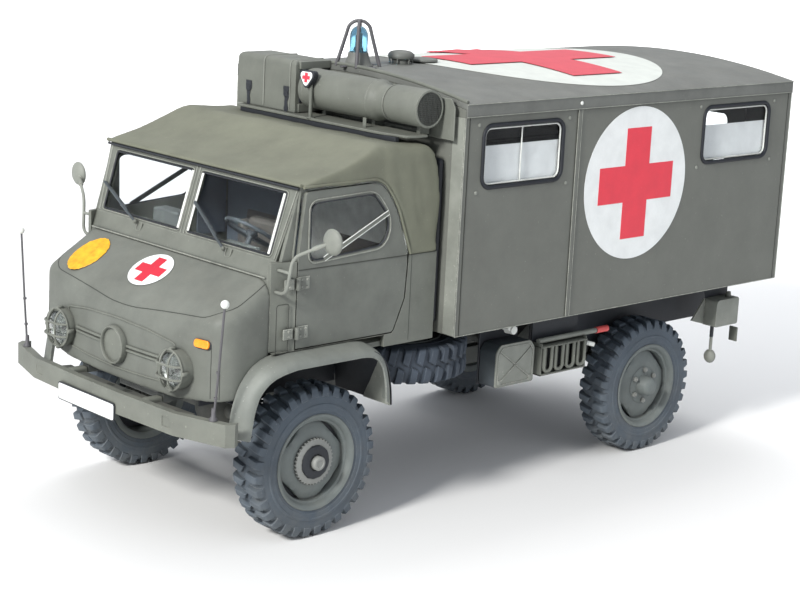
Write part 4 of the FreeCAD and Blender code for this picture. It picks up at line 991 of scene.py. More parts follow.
# Width markers, leaning a little outwards
ROD_TIPS = {1: Vector((1003, -750, 1484)), -1: Vector((-1003, -750, 1530))}
shapes = []
for hand, tip in ROD_TIPS.items():
    foot = Vector((hand * 930, -752, 822))
    shapes += [(pipe, [foot, foot.lerp(tip, 0.4) + AXIS_X * hand * 4, tip], 6.5),
        (lathe, [(0, 0), (24, 0), (24, 14), (13, 26), (11, 74), (0, 76)], foot, AXIS_Z, 16)]
    shapes += [(lathe, [(0, -6), (11, -6), (11, 6), (0, 6)], foot.lerp(tip, share), tip - foot, 10)
        for share in (0.2, 0.42)]
build("marker_rods", ROD, *shapes, replaces=("width_markers",), smooth=50)
build("marker_balls", TRIM_WHITE, *[(ball, tip, 24 if hand > 0 else 20, (1, 1, 1), 20)
    for hand, tip in ROD_TIPS.items()], smooth=80)


# ---------------------------------------------------------------- markings

def cross_outline(size, arm):
    """Twelve corners of an even cross."""
    far, near = size / 2, arm / 2
    quarter = [(near, far), (near, near), (far, near)]
    corners = quarter + [(x, -y) for x, y in reversed(quarter)]
    return corners + [(-x, -y) for x, y in corners]


def marking(name, centre, across, upward, disc=488, cross=708, arm=233, tall=1.0, red=RED, lift=1):
    """White disc and red cross, as thin film on a flat wall."""
    out = across.cross(upward)
    centre = centre + out * lift
    build(name + "_disc", WHITE, (plate, circle(centre, across * disc, upward * disc * tall, 96),
        out * 1.6))
    outline = [centre + out * 1.6 + across * x + upward * y * tall for x, y in cross_outline(cross, arm)]
    build(name + "_cross", red, (plate, outline, out * 1.4))


for hand, flank in SIDES:
    marking("side_" + flank, Vector((hand * 1060, 2462, 1886)), AXIS_Y * hand, AXIS_Z)
hood_up = Vector((0, 1, HOOD_SLOPE)).normalized()
hood_out = AXIS_X.cross(hood_up)
marking("hood", on_nose((-8, -506, 3000), DOWN), AXIS_X, hood_up, 157, 238, 78, 0.87, SHADED_HOOD_RED, 2.5)

# Blank yellow disc with a brushed, uneven rim
spot = on_nose((-607, -530, 3000), DOWN) + hood_out * 1.5
rim = []
for way in circle(Vector((0, 0)), Vector((1, 0)), Vector((0, 1)), 72):
    ripple = 0.012 * math.sin(math.atan2(way.y, way.x) * 23)
    rough = 1 + 0.035 * noise.noise(Vector((*(way * 4), 0))) + ripple
    rim.append(spot + AXIS_X * 123 * rough * way.x + hood_up * 150 * rough * way.y)
build("hood_yellow_disc", YELLOW, (plate, rim, hood_out * 4, 2, 1))


# ---------------------------------------------------------------- cab

BELT = 1590
CAB_SIDE = 930
BOW_Y, CANVAS_SILL, CANVAS_EAVES, CANVAS_VOXEL = 385, 1640, 1900, 13


def creased_canvas():
    """Soft top: sagging between header, bow and rear edge, with gentle folds."""
    bm = node_mesh("canvas_top")
    round_corners(bm, [(533, 1898, 100), (412, 2046, 75)])
    bm = remeshed(bm, CANVAS_VOXEL)
    smoothed(bm, [vert for vert in bm.verts if vert.co.z > CANVAS_SILL], 9)
    for vert in bm.verts:
        x, y, z = vert.co
        if z < CANVAS_EAVES:
            continue
        if y < BOW_Y:
            sag = 26 * math.sin(math.pi * max(0, (y + 188) / 573)) ** 1.5
        else:
            sag = 10 * math.sin(math.pi * min(1, (y - BOW_Y) / 480)) ** 2
        sag *= 1 - 0.3 * abs(x) / 938
        folds = 5 * noise.noise(Vector((x / 260, y / 190, z / 200))) + 2.5 * noise.noise(Vector((x, y,
            z)) / 80)
        vert.co.z -= (sag - folds) * min(1, (z - CANVAS_EAVES) / 160)
    for vert in bm.verts:
        x, y, z = vert.co
        if abs(x) > 900 and z > CANVAS_SILL and y > 420:
            fold = noise.noise(Vector((0, y / 90 + z / 400, z / 260))) * 7
            vert.co.x += math.copysign(fold - 3, x) * min(1, (z - CANVAS_SILL) / 120)
    return bm


piece("soft_top", creased_canvas(), CANVAS, smooth=70, replaces=("canvas_top",))

# Windscreen trim: bright edges and dark rubber round both panes, on the slanted frame
SCREEN_LOW, SCREEN_HIGH = Vector((0, -299, 1640)), Vector((0, -174, 2046))
SCREEN_OUT = AXIS_X.cross((SCREEN_HIGH - SCREEN_LOW).normalized())


def on_screen(x, height, lift=0.0):
    """Point of the windscreen frame's front, by its height above the ground."""
    share = (height - SCREEN_LOW.z) / (SCREEN_HIGH.z - SCREEN_LOW.z)
    return Vector((x, 0, 0)) + SCREEN_LOW.lerp(SCREEN_HIGH, share) + SCREEN_OUT * lift


def screen_strip(bm, x, top):
    strip = [on_screen(x - 10, 1668, 3), on_screen(x + 10, 1668, 3), on_screen(x + 13, top, 3),
        on_screen(x - 7, top, 3)]
    plate(bm, strip, SCREEN_OUT * 6, 2, 1)


def wiper(bm, start, end):
    """Bent arm and its blade."""
    pipe(bm, [start, start.lerp(end, 0.3) + SCREEN_OUT * 8, start.lerp(end, 0.55)], 8, 6)
    bar(bm, start.lerp(end, 0.25), end, 10, 7, 6)
    way, centre = (end - start).normalized(), start.lerp(end, 0.66) - SCREEN_OUT * 9
    pipe(bm, [centre - way * 150, centre + way * 150], 9, 6)


hem = softened([(-176, 2050), (60, 2056), (404, 2056), (528, 1902), (646, 1598)], 70, 6, closed=False)
mirror_arm = softened([(876, -318, 1478), (985, -320, 1478), (1010, -300, 1690), (1214, -208, 1800)], 45, 6,
    closed=False)
build("header_hem", CANVAS, (pipe, [(x, -190 - 3 * math.cos(x / 300), 2060) for x in range(-925, 926, 50)],
    11), smooth=60)
build("header_rubber", BLACK, (pipe, [(-908, -193, 2040), (908, -193, 2040)], 7), smooth=60)
for hand, flank, pivot, tip, foot in ((1, "left", (423, 1630), (62, 1829), 457),
        (-1, "right", (-436, 1637), (-844, 1810), -407)):
    build("door_hem_" + flank, CANVAS, (pipe, lay("x", hand * 934, hem), 9), smooth=60)
    corners = [(42, 1664), (805, 1664), (812, 2002), (42, 2002)]
    inner = softened([(hand * x, z) for x, z in corners], 18, 3)
    build("screen_rubber_" + flank, BLACK, (loop, [on_screen(x, z) for x, z in inner], 7), smooth=60)
    outer = softened([(hand * (x + (-12 if x < 100 else 12)), z + (12 if z > 1800 else -10))
        for x, z in corners], 22, 3)
    build("screen_edge_" + flank, LIGHT_OLIVE, (loop, [on_screen(x, z, 1) for x, z in outer], 5), smooth=60)
    start = on_screen(*pivot, 22)
    build("wiper_" + flank, SLATE, (wiper, start, on_screen(*tip, 20)), smooth=50)
    hook = softened([(foot - 24, 1640), (foot - 24, 1600), (foot - 8, 1588), (foot + 14, 1588),
        (foot + 26, 1602), (foot + 26, 1636)], 12, 3, closed=False)
    build("wiper_spindle_" + flank, OLIVE, (pipe, [on_screen(x, z, 8) for x, z in hook], 5, 6),
        (ball, start, 13, (1, 1, 1), 14), smooth=50)
    build("mirror_" + flank, LIGHT_OLIVE, (pipe, mirror_arm, 10, 10),
        (bar, (876, -306, 1600), (1002, -308, 1600), 9), (bar, (1120, -250, 1750), (1196, -214, 1790), 15,
        12, 12), (lathe, [(0, -22), (32, -19), (56, -12), (70, -2), (74, 6), (72, 12), (66, 12), (63, 8),
        (0, 8)], (1220, -208, 1802), (-0.02, 1, 0.02)), replaces=("mirrors",) if hand > 0 else (),
        smooth=45, place=handed(hand))
build("screen_white_strips", TRIM_WHITE, (screen_strip, -45, 2000), (screen_strip, 794, 1998),
    (screen_strip, 52, 1998))
build("screen_posts", LIGHT_OLIVE, *[(pipe, [on_screen(x, 1648, 1), on_screen(x, 2040, 1)], 5, 6)
    for x in (-16, 16)], *[(pipe, [on_screen(hand * 846, 1650), on_screen(hand * 884, 2036)], 6, 6)
    for hand in (1, -1)], smooth=60)
gusset = [(-292, 1638), (-203, 1638), (-165, 2030), (-176, 2040)]
build("screen_gussets", OLIVE, *[(slab, "x", hand * 874, gusset, hand * 24, 4, 1) for hand in (1, -1)],
    *[(pipe, [(hand * 900, -212, 1640), (hand * 900, -172, 2030)], 7, 6) for hand in (1, -1)])

# Door trim, riding on the doors, and the seams of the cowl beside them
PANE = softened([(-108, 1632), (-112, 1955), (352, 1972), (458, 1850), (470, 1740), (420, 1668)], 50, 5)
PANE_OUTER = softened([(-124, 1616), (-128, 1972), (362, 1990), (474, 1856), (488, 1736), (430, 1652)], 55,
    5)
HATCH = softened([(-336, 1130), (-336, 1410), (-250, 1410), (-250, 1130)], 14, 3)


def hinges(hand, low_y, high_y, half, thick, bolts, reach, step):
    """Two hinge leaves on the cab's side, each with its bolt heads."""
    side = hand * CAB_SIDE
    shapes = []
    for z in (1238, 1518):
        levels = sorted((side - hand, side + hand * thick))
        shapes.append((block, (levels[0], low_y, z - half), (levels[1], high_y, z + half), 3, 1))
        shapes += [(bar, (side, y, z + drop), (side + hand * reach, y, z + drop), 8, 6, 8) for y in bolts
            for drop in (-step, step)]
    return shapes


for hand, flank in SIDES:
    on_door = {"body": "cab_door_" + flank}
    side = hand * CAB_SIDE
    build("door_frame_line_" + flank, LIGHT_OLIVE, (loop, lay("x", side, PANE_OUTER), 5), smooth=60,
        **on_door)
    build("door_rubber_" + flank, BLACK, (loop, lay("x", side - hand * 4, PANE), 6), smooth=60, **on_door)
    first, last = Vector((side - hand * 6, -10, 1636)), Vector((side - hand * 6, 464, 1856))
    across = (last - first).normalized().cross(AXIS_X)
    strip = [first - across * 15, last - across * 15, last + across * 15, first + across * 15]
    build("door_divider_" + flank, OLIVE, (plate, strip, (hand * 9, 0, 0), 2, 1), **on_door)
    edges = [across * offset + AXIS_X * hand * 8 for offset in (-13, 13)]
    build("door_divider_edges_" + flank, TRIM_WHITE, *[(pipe, [first + edge, last + edge], 3.2, 6)
        for edge in edges], smooth=60, **on_door)
    build("door_belt_" + flank, SEAM, (pipe, [(side, -190, BELT), (side, 626, BELT)], 3, 6), smooth=60,
        **on_door)
    build("hinge_leaves_" + flank, LIGHT_OLIVE, *hinges(hand, -188, -112, 36, 7, (-170, -130), 12, 20),
        **on_door)
    build("hinge_plates_" + flank, LIGHT_OLIVE, *hinges(hand, -290, -222, 30, 9, (-254,), 14, 16))
    cowl = hand * 929
    build("cowl_seams_" + flank, SEAM, (loop, lay("x", cowl, HATCH), 2.5),
        (upright, cowl, 662, 1080, BELT, 2.5), (pipe, [(cowl, 634, BELT), (cowl, 850, BELT)], 3, 6),
        smooth=60)

# Inside the cab: engine cover, levers, steering wheel, instrument board, linings and a stowed pack
build("engine_cover", SEAT, (block, (-160, -60, 1100), (150, 640, 1290), 24, 3),
    (bar, (-40, 80, 1280), (-20, 50, 1470), 8), (ball, (-20, 50, 1470), 22, (1, 1, 1), 16),
    (bar, (40, 120, 1280), (60, 90, 1420), 8), (ball, (60, 90, 1420), 22, (1, 1, 1), 16))
WHEEL_HUB = Vector((352, -56, 1686))
WHEEL_AXIS = Vector((0, 0.56, 0.83)).normalized()
rim_line = circle(WHEEL_HUB, AXIS_X * 168, WHEEL_AXIS.cross(AXIS_X) * 168, 48)
spokes = circle(WHEEL_HUB, AXIS_X * 166, WHEEL_AXIS.cross(AXIS_X) * 166, 12)
build("steering_wheel", SLATE, (loop, rim_line, 12, 8), *[(bar, WHEEL_HUB - WHEEL_AXIS * 16, spokes[hour],
    14, 9, 8) for hour in (3, 7, 11)], (lathe, [(0, -26), (30, -26), (38, -8), (34, 4), (20, 9), (0, 10)],
    WHEEL_HUB, WHEEL_AXIS, 24),
    (bar, WHEEL_HUB - WHEEL_AXIS * 20, WHEEL_HUB - WHEEL_AXIS * 470 + AXIS_X * 60, 17, None, 12),
    smooth=50)
dial = [(0, 0), (36, 0), (36, 6), (30, 9), (28, 5), (0, 5)]
build("instrument_board", INTERIOR, (block, (-850, -236, 1420), (850, -130, 1606), 16, 3),
    (block, (200, -150, 1500), (500, -96, 1632), 20, 3), *[(lathe, dial, (x, -96, 1570), AXIS_Y, 24)
    for x in (260, 350, 440)], replaces=("dashboard",), weighted=True)
# The cab's rear linings are paler than the dim light inside would make them: painted light, bluish grey on
# the right and white on the left.
build("cab_rear_lining", LIT_CAB_LINING, (block, (-850, 690, 1230), (-120, 716, 1960), 12),
    (block, (860, -300, 1230), (866, -150, 1600), 2, 1), (block, (-902, 486, 1400), (-892, 716, 1990), 3,
    1))
build("cab_rear_panel_painted_light", TRIM_WHITE, (block, (-118, 690, 1230), (850, 716, 1960), 12), weighted=True)
build("stowed_pack", INTERIOR, (block, (-790, 60, 1400), (-520, 170, 1642), 16, 3), weighted=True)
build("stowed_blanket", SEAT, (block, (40, 150, 1400), (330, 240, 1712), 26, 4),
    (block, (-20, 120, 1400), (60, 200, 1690), 22, 3), weighted=True)
# Black block filling the gap between cab and box: painted shade for the dark gap, shaped as a rubber
# bellows.
build("cab_to_box_painted_shade", BLACK, (block, (-908, 872, 1150), (908, 915, 2130), 30, 3), smooth=45)
build("hood_rear_line", LIGHT_OLIVE, (pipe, [(-840, -353, 1549), (840, -353, 1549)], 5, 6), smooth=60)


# ---------------------------------------------------------------- roof of the box

ROOF_TOP, ROOF_HALF, ROOF_RISE = 2567, 1070, 101
ROOF_RADIUS = (ROOF_HALF ** 2 + ROOF_RISE ** 2) / (2 * ROOF_RISE)
ROOF_MARK_Y = 2455


def arch_height(x):
    """Top of the box roof at that X."""
    return ROOF_TOP - ROOF_RADIUS + math.sqrt(ROOF_RADIUS ** 2 - x * x)


def arched_film(name, outline, lift, material):
    """Thin film on the roof's arch, wrinkled towards its right edge."""
    bm = bmesh.new()
    bm.faces.new([bm.verts.new((x, y, 0)) for x, y in outline])
    low, high = min(x for x, y in outline), max(x for x, y in outline)
    cuts = [((low + (high - low) * i / 24, 0, 0), AXIS_X) for i in range(1, 24)]
    cuts += [((0, y, 0), AXIS_Y) for y in range(1500, 3500, 80)]
    for spot, way in cuts:
        bmesh.ops.bisect_plane(bm, geom=bm.verts[:] + bm.edges[:] + bm.faces[:], plane_co=spot,
            plane_no=way)
    for vert in bm.verts:
        x, y, _ = vert.co
        wrinkle = max(0, noise.noise(Vector((x / 60, y / 170, 3)))) * 16 * min(1, max(0, (-300 - x) / 300))
        vert.co.z = arch_height(x) + lift + wrinkle
    bmesh.ops.translate(bm, verts=thickened(bm, bm.faces[:]), vec=AXIS_Z * 2)
    piece(name, bm, material, smooth=40)


arched_film("roof_disc", circle(Vector((0, ROOF_MARK_Y)), Vector((940, 0)), Vector((0, 940)), 96), 1.5,
    SHADED_WHITE)
arched_film("roof_cross", [(x, ROOF_MARK_Y + y) for x, y in cross_outline(1380, 462)], 9, SHADED_RED)
build("roof_front_lip", OLIVE, (pipe, [(x, 922, arch_height(x) + 8) for x in range(-1060, 1061, 40)], 12),
    smooth=60)

# Beacon with its splayed guard hoops, and the roof vents
build("beacon_lens", BLUE, (lathe, [(0, 2809), (24, 2806), (43, 2792), (54, 2768), (58, 2738), (58, 2649),
    (51, 2649), (51, 2738), (46, 2764), (36, 2784), (20, 2797), (0, 2801)], (0, BEACON_Y, 0), AXIS_Z),
    replaces=("beacon_dome",), smooth=60)
build("beacon_reflector", SILVER, (lathe, [(0, 0), (30, 0), (30, 22), (22, 30), (22, 110), (10, 122),
    (0, 124)], (0, BEACON_Y, 2652), AXIS_Z, 24), smooth=40)
build("beacon_base", ROOF_OLIVE, (lathe, [(0, 0), (92, 0), (92, 8), (80, 20), (66, 62), (62, 84), (56, 88),
    (0, 88)], (0, BEACON_Y, 2564), AXIS_Z), replaces=("beacon_mount",), smooth=40)
bow = [(72 * math.cos(math.radians(a)), 2776 + 66 * math.sin(math.radians(a))) for a in range(165, 0, -15)]
hoop = lay("y", 0, softened([(-134, 2562), (-74, 2772), *bow, (74, 2772), (134, 2562)], 40, 3,
    closed=False))
swings = [Matrix.Translation((0, BEACON_Y, 0)) @ Matrix.Rotation(math.radians(turn), 4, "Z")
    for turn in (45, 135)]
build("beacon_guard", ROD, *[(pipe, [swing @ point for point in hoop], 11.5) for swing in swings],
    (block, (-160, 996, 2562), (160, 1024, 2572), 4, 1), (block, (-14, 872, 2560), (14, 1160, 2571), 4, 1),
    smooth=50)
posts = zip(*[circle(Vector((0, VENT_Y, z)), AXIS_X * r, AXIS_Y * r, 6)
    for z, r in ((2568, 70), (2602, 74))])
build("vent_caps", ROOF_OLIVE, (lathe, [(0, 0), (58, 0), (58, 24), (64, 30), (80, 36), (85, 46), (82, 62),
    (68, 76), (42, 83), (0, 86)], (0, VENT_Y, 2565), AXIS_Z), (lathe,
    [(0, 0), (62, 0), (64, 7), (90, 10), (93, 16), (88, 25), (66, 30), (0, 32)], (0, REAR_VENT_Y, 2565),
    AXIS_Z), *[(bar, foot, head, 5, None, 6) for foot, head in posts], replaces=("roof_vents",), smooth=40)


# ---------------------------------------------------------------- equipment above the cab

def strap(bm, x, high):
    """Uneven strap down the front of the stowage box, with its buckle."""
    levels = [2269 + (high - 2269) * i / 12 for i in range(13)]
    outline = [(x + 20 + 13 * noise.noise(Vector((x, z / 34, 0))) + (8 if z > high - 60 else -4), z)
        for z in levels]
    outline += [(x - 20 + 11 * noise.noise(Vector((x, z / 30, 9))) - (6 if z > high - 60 else -6), z)
        for z in reversed(levels)]
    slab(bm, "y", 641, outline, -3)
    block(bm, (x - 17, 632, high - 64), (x + 17, 642, high - 30), 3, 1)


# Stowage box with rounded top edges, a seam and a lower end step
bm = bmesh.new()
made = block(bm, (-716, 642, 2274), (-150, 912, 2594))
round_edges(bm, [edge for edge in edges_of(made) if all(vert.co.z > 2590 for vert in edge.verts)], 34, 5)
round_edges(bm, [edge for edge in bm.edges if edge.calc_face_angle(0) > 0.6], 6, 2)
piece("stowage_case", bm, OLIVE, replaces=("stowage_box",), weighted=True)
build("stowage_ends", OLIVE, (block, (-742, 664, 2274), (-712, 906, 2530), 12, 3),
    (block, (-746, 690, 2300), (-738, 880, 2306), 2, 1), (block, (-164, 668, 2540), (-136, 912, 2588), 6),
    (block, (-164, 664, 2276), (-140, 912, 2330), 6), weighted=True)
seam = softened([(640, 2290), (640, 2594), (900, 2594)], 34, 5, closed=False)
build("stowage_seams", LIGHT_OLIVE, (pipe, lay("x", -452, seam), 5), (pipe, lay("x", -200, seam), 3),
    smooth=60)
# Black strip in the recess at the stowage box's right end: painted shade.
build("stowage_recess_shade", BLACK, (block, (-152, 672, 2336), (-146, 905, 2534), 3, 1))
build("stowage_straps", BLACK, (strap, -601, 2424), (strap, -232, 2429))

# Equipment tray: flat shelf with a chamfered end, over a black block that paints the shadow under it
build("tray_shelf", OLIVE, (slab, "z", 2258, [(-660, 598), (660, 598), (860, 640), (880, 700), (880, 790),
    (-660, 790)], 15, 3, 1), (slab, "z", 2258, [(-760, 860), (800, 860), (800, 911), (-760, 911)], 15, 3,
    1), *[(block, (x - 30, 780, 2256), (x + 30, 912, 2270), 3, 1) for x in (-600, 0, 460)],
    replaces=("equipment_tray",), weighted=True)
build("tray_painted_shadow", BLACK, (block, (-640, 606, 2216), (800, 640, 2258), 4, 1))

# Heater drum: bands, mesh mouth, feet and back plate
DRUM_Y, DRUM_Z = 745, 2430
build("drum_shell", OLIVE, (lathe, [(0, -124), (92, -124), (108, -120), (118, -108), (121, -96), (121, 520),
    (118, 534), (108, 548), (99, 562), (97, 600), (99, 640), (106, 650), (109, 664), (110, 700), (111, 922),
    (108, 930), (100, 930), (97, 924), (97, 880), (0, 880)], (0, DRUM_Y, DRUM_Z), AXIS_X, 72),
    *[(block, (x, 770, 2268), (x + 30, 850, 2380), 4, 1) for x in (-40, 410, 800)],
    replaces=("heater_drum",))
bands = [(-70, 122), (505, 122), (640, 108)]
build("drum_bands", OLIVE, *[(lathe, [(r - 8, -6), (r - 1, -6), (r + 2, 0), (r - 1, 6), (r - 8, 6)],
    (x, DRUM_Y, DRUM_Z), AXIS_X, 48, True) for x, r in bands], (lathe,
    [(96, 0), (102, -3), (110, 0), (110, 5), (102, 8), (96, 5)], (926, DRUM_Y, DRUM_Z), AXIS_X, 48, True),
    smooth=45)
build("drum_mesh", MESH_GREY, (lathe, [(0, 0), (98, 0), (98, 5), (0, 5)], (914, DRUM_Y, DRUM_Z), AXIS_X))
wires = []
for offset in range(-88, 89, 11):
    reach = math.sqrt(96 ** 2 - offset ** 2)
    wires.append(((929, DRUM_Y - reach, DRUM_Z + offset), (929, DRUM_Y + reach, DRUM_Z + offset)))
    wires.append(((930, DRUM_Y + offset, DRUM_Z - reach), (930, DRUM_Y + offset, DRUM_Z + reach)))
build("drum_mesh_wires", SEAM, *[(bar, *wire, 2.4, None, 6) for wire in wires], smooth=60)
build("drum_back_plate", OLIVE, (block, (476, 640, 2270), (504, 650, 2330), 3, 1),
    (slab, "y", 866, [(800, 2250), (1012, 2250), (1012, 2440), (980, 2489), (860, 2489)], 10, 2, 1))

# Small cross lamp on its post
LAMP_FACE = Vector((0.16, -0.98, 0.1)).normalized()
LAMP_SIDE = AXIS_Z.cross(LAMP_FACE).normalized()
LAMP_UP = LAMP_FACE.cross(LAMP_SIDE)


def on_lamp(outline, out, wide=1.0, high=1.0):
    """Outline scaled and laid on the lamp's face, moved out from it."""
    centre = Vector((24, 582, 2512)) + LAMP_FACE * out
    return [centre + LAMP_SIDE * x * wide + LAMP_UP * y * high for x, y in outline]


shield = softened([(-52, 44), (52, 44), (60, 10), (12, -58), (-12, -58), (-60, 10)], 26, 5)
build("cross_lamp_post", OLIVE, (bar, (36, 612, 2270), (34, 612, 2470), 12, None, 12),
    (lathe, [(0, 0), (28, 0), (28, 8), (0, 8)], (36, 614, 2270), AXIS_Z, 16))
build("cross_lamp_case", BLACK, (plate, on_lamp(shield, 0, 0.98, 1.04), LAMP_FACE * -44, 10, 3),
    weighted=True)
build("cross_lamp_face", WHITE, (plate, on_lamp(shield, 1, 0.8, 0.82), LAMP_FACE * 3, 1, 1))
small_cross = [(x, y + 2) for x, y in cross_outline(58, 21)]
build("cross_lamp_cross", RED, (plate, on_lamp(small_cross, 4), LAMP_FACE * 2))


# ---------------------------------------------------------------- box

BOX_SIDE = 1060
BOX_FRONT, BOX_BACK, BOX_FLOOR, BOX_EAVES = 914, 4043, 1090, 2384
WINDOW_LOW, WINDOW_HIGH = 1970, 2326
FILM_TOP = WINDOW_LOW + 238
LATCH_FACE = 4046
FUEL_CAN = softened([(1404, 668), (1744, 668), (1744, 892), (1706, 938), (1442, 938), (1404, 892)], 10, 2)
CAN_EDGE = softened([(1422, 686), (1726, 686), (1726, 880), (1694, 920), (1454, 920), (1422, 880)], 20, 4)
LAMP_BOX = softened([(3520, 778), (3766, 778), (3766, 969), (3540, 969), (3520, 950)], 10, 2)


def window_outline(low_y, high_y, grow):
    return softened([(low_y - grow, WINDOW_LOW - grow), (high_y + grow, WINDOW_LOW - grow),
        (high_y + grow, WINDOW_HIGH + grow), (low_y - grow, WINDOW_HIGH + grow)], 60 + grow, 6)


def side_window(name, hand, low_y, high_y, bars=(), replaces=()):
    """Rubber seal, bright inner frame, clear pane and the frosted film on its lower part."""
    build(name + "_pane", GLASS, (slab, "x", hand * 1036, window_outline(low_y, high_y, 2), hand * 8),
        replaces=replaces)
    film = [point for point in window_outline(low_y, high_y, -4) if point.y < FILM_TOP]
    film.sort(key=lambda point: math.atan2(point.y - FILM_TOP, point.x - (low_y + high_y) / 2))
    film += [(high_y + 4, FILM_TOP), (low_y - 4, FILM_TOP)]
    build(name + "_film", FROST, (slab, "x", hand * 1030, film, hand * 4))
    build(name + "_seal", SEAL, (loop, lay("x", hand * BOX_SIDE, window_outline(low_y, high_y, 6)), 13, 8),
        smooth=60)
    build(name + "_frame", TRIM_WHITE, (loop, lay("x", hand * 1052, window_outline(low_y, high_y, -14)), 6),
        *[(upright, hand * 1048, y, WINDOW_LOW + 12, WINDOW_HIGH - 12, 4.5) for y in bars], smooth=60)
    build(name + "_studs", LIGHT_OLIVE, *[(ball, (hand * BOX_SIDE, y, z), 13, (0.55, 1, 1), 12)
        for y in (low_y - 48, high_y + 54) for z in (WINDOW_LOW - 30, WINDOW_HIGH + 12)], smooth=60)


for hand, flank in SIDES:
    side_window("front_window_" + flank, hand, 1073, 1745, (1400,), ("box_windows",) if hand > 0 else ())
    side_window("rear_window_" + flank, hand, 3114, 3800)
    side, rail = hand * BOX_SIDE, hand * 1071
    build("box_rib_" + flank, BOX_OLIVE, (side_block, hand, (1060, 1872, BOX_FLOOR),
        (1068, 1906, BOX_EAVES), 3))
    levels = [(rail, 2389, 3), (rail, 2462, 3), (side, BOX_FLOOR - 1, 3.5)]
    build("box_edges_" + flank, LIGHT_OLIVE, *[(upright, side + hand * 6, y, 1092, 2383, 3)
        for y in (1873, 1905)], *[(pipe, [(x, BOX_FRONT, z), (x, BOX_BACK, z)], radius, 6)
        for x, z, radius in levels], *[(upright, side, y, BOX_FLOOR, BOX_EAVES, 4)
        for y in (BOX_FRONT - 1, BOX_BACK + 1)], smooth=60)
    build("box_seams_" + flank, SEAM, *[(upright, side, y, BOX_FLOOR, BOX_EAVES, 2.6) for y in (948, 4010)],
        smooth=60)
    # Paler plate on the box's front corner: painted light for the lit strip there.
    corner = [(hand * x, z) for x, z in ((962, 1092), (1056, 1092), (1056, BOX_EAVES), (962, BOX_EAVES))]
    build("box_front_corner_painted_light_" + flank, LIGHT_OLIVE, (slab, "y", 913, corner, -5, 2, 1))
    # Black plates inboard above the rear wheels: painted shade under the box.
    front = 2000 if hand > 0 else 2262
    splash = [(front, 1085), (front, 720), (2700, 720), (2760, 770), (3690, 770), (3910, 960), (3985, 1000),
        (3985, 1085)]
    build("shaded_splash_plate_" + flank, BLACK, (slab, "x", hand * 652, splash, hand * 8, 2, 1))
    build("rail_stud_" + flank, TRIM_WHITE, (ball, (hand * 1072, 1888, 2424), 13, (0.6, 1, 1), 12),
        smooth=60)

    # Rear door: window seal, hinges and lower pressing
    on_door = {"body": "rear_door_" + flank}
    frames = [softened([(hand * near, low), (hand * far, low), (hand * far, high), (hand * near, high)],
        radius, 5) for near, far, low, high, radius in ((200, 560, 1760, 2180, 50),
        (70, 650, 1240, 1640, 40))]
    build("rear_seal_" + flank, SEAL, (loop, lay("y", LATCH_FACE, frames[0]), 12, 8), smooth=60, **on_door)
    build("rear_panel_bead_" + flank, BOX_OLIVE, (loop, lay("y", LATCH_FACE, frames[1]), 7, 8), smooth=60,
        **on_door)
    shapes = []
    for z in (1330, 2180):
        shapes.append((side_block, hand, (560, 4044, z - 26), (715, 4054, z + 26), 4, 1))
        shapes += [(bar, (hand * x, 4050, z), (hand * x, 4060, z), 9, 7, 8) for x in (590, 630, 670)]
    build("rear_hinge_straps_" + flank, LIGHT_OLIVE, *shapes, **on_door)

    # Rear lamp box with its hanger, hanging rod and fittings
    build("rear_lamp_box_" + flank, LIGHT_OLIVE, (slab, "x", 866, LAMP_BOX, 119, 6),
        (slab, "x", 862, [(3392, 822), (3522, 966), (3522, 784)], 16, 2, 1),
        replaces=("rear_lamps",) if hand > 0 else (), weighted=True, place=handed(hand))
    hanger = [(3500, 1087), (3530, 966), (3766, 966), (3766, 1087)]
    build("rear_lamp_hanger_" + flank, BLACK, (slab, "x", hand * 866, hanger, hand * 10, 2, 1))
    rod, lamp = hand * 930, hand * 940
    build("hanging_rod_top_" + flank, BLACK, (bar, (rod, 3556, 790), (rod, 3556, 700), 13, None, 14),
        smooth=45)
    build("hanging_rod_" + flank, LIGHT_OLIVE, (bar, (rod, 3556, 702), (rod, 3556, 575), 11, None, 14),
        (ball, (rod, 3556, 562), 44, (1, 0.8, 1.1)), smooth=45)
    build("lamp_fittings_" + flank, OLIVE, (bar, (hand * 935, 3700, 966), (hand * 935, 3700, 1004), 22, 17),
        (side_block, hand, (900, 3790, 640), (970, 3802, 742), 4, 1), (bar, (lamp, 3766, 900),
        (lamp, 3776, 900), 30, None, 20), smooth=45)
    build("rear_lamp_lens_" + flank, RED_END, (ball, (lamp, 3776, 900), 26, (1, 0.4, 1), 16), smooth=60)
handle = softened([(4048, 1700), (4078, 1700), (4078, 1560), (4048, 1560)], 16, 4, closed=False)
build("rear_handle", BLACK, (pipe, lay("x", 60, handle), 7), (block, (44, 4044, 1680), (76, 4052, 1720), 3,
    1), (block, (44, 4044, 1540), (76, 4052, 1580), 3, 1), (upright, 34, 4054, 1210, 2300, 8, 8),
    body="rear_door_left", smooth=50)


# ---------------------------------------------------------------- below the box

# The can's body is dark slate and only its face is olive: painted shade for the side that lies in shadow.
build("fuel_can", SLATE, (slab, "x", 802, FUEL_CAN, 138, 8), slot="olive_paint", replaces=("jerrycan",),
    weighted=True)
build("fuel_can_face", LIGHT_OLIVE, (slab, "x", 934, FUEL_CAN, 14, 5), weighted=True)
build("fuel_can_pressing", LIGHT_OLIVE, (pipe, [(948, 1434, 698), (948, 1714, 900)], 6, 6),
    (pipe, [(948, 1714, 698), (948, 1434, 900)], 6, 6), (loop, lay("x", 948, CAN_EDGE), 4),
    *[(ball, (948, y, 698), 20, (0.5, 1, 1), 16) for y in (1436, 1712)], smooth=60)
# White knob: painted light, so it reads bright in the shade under the box.
build("filler_knob_painted_light", TRIM_WHITE, (bar, (900, 1532, 1025), (962, 1532, 1025), 30, 26, 24),
    (bar, (900, 1500, 1040), (955, 1500, 1040), 18, 16, 18), smooth=45)

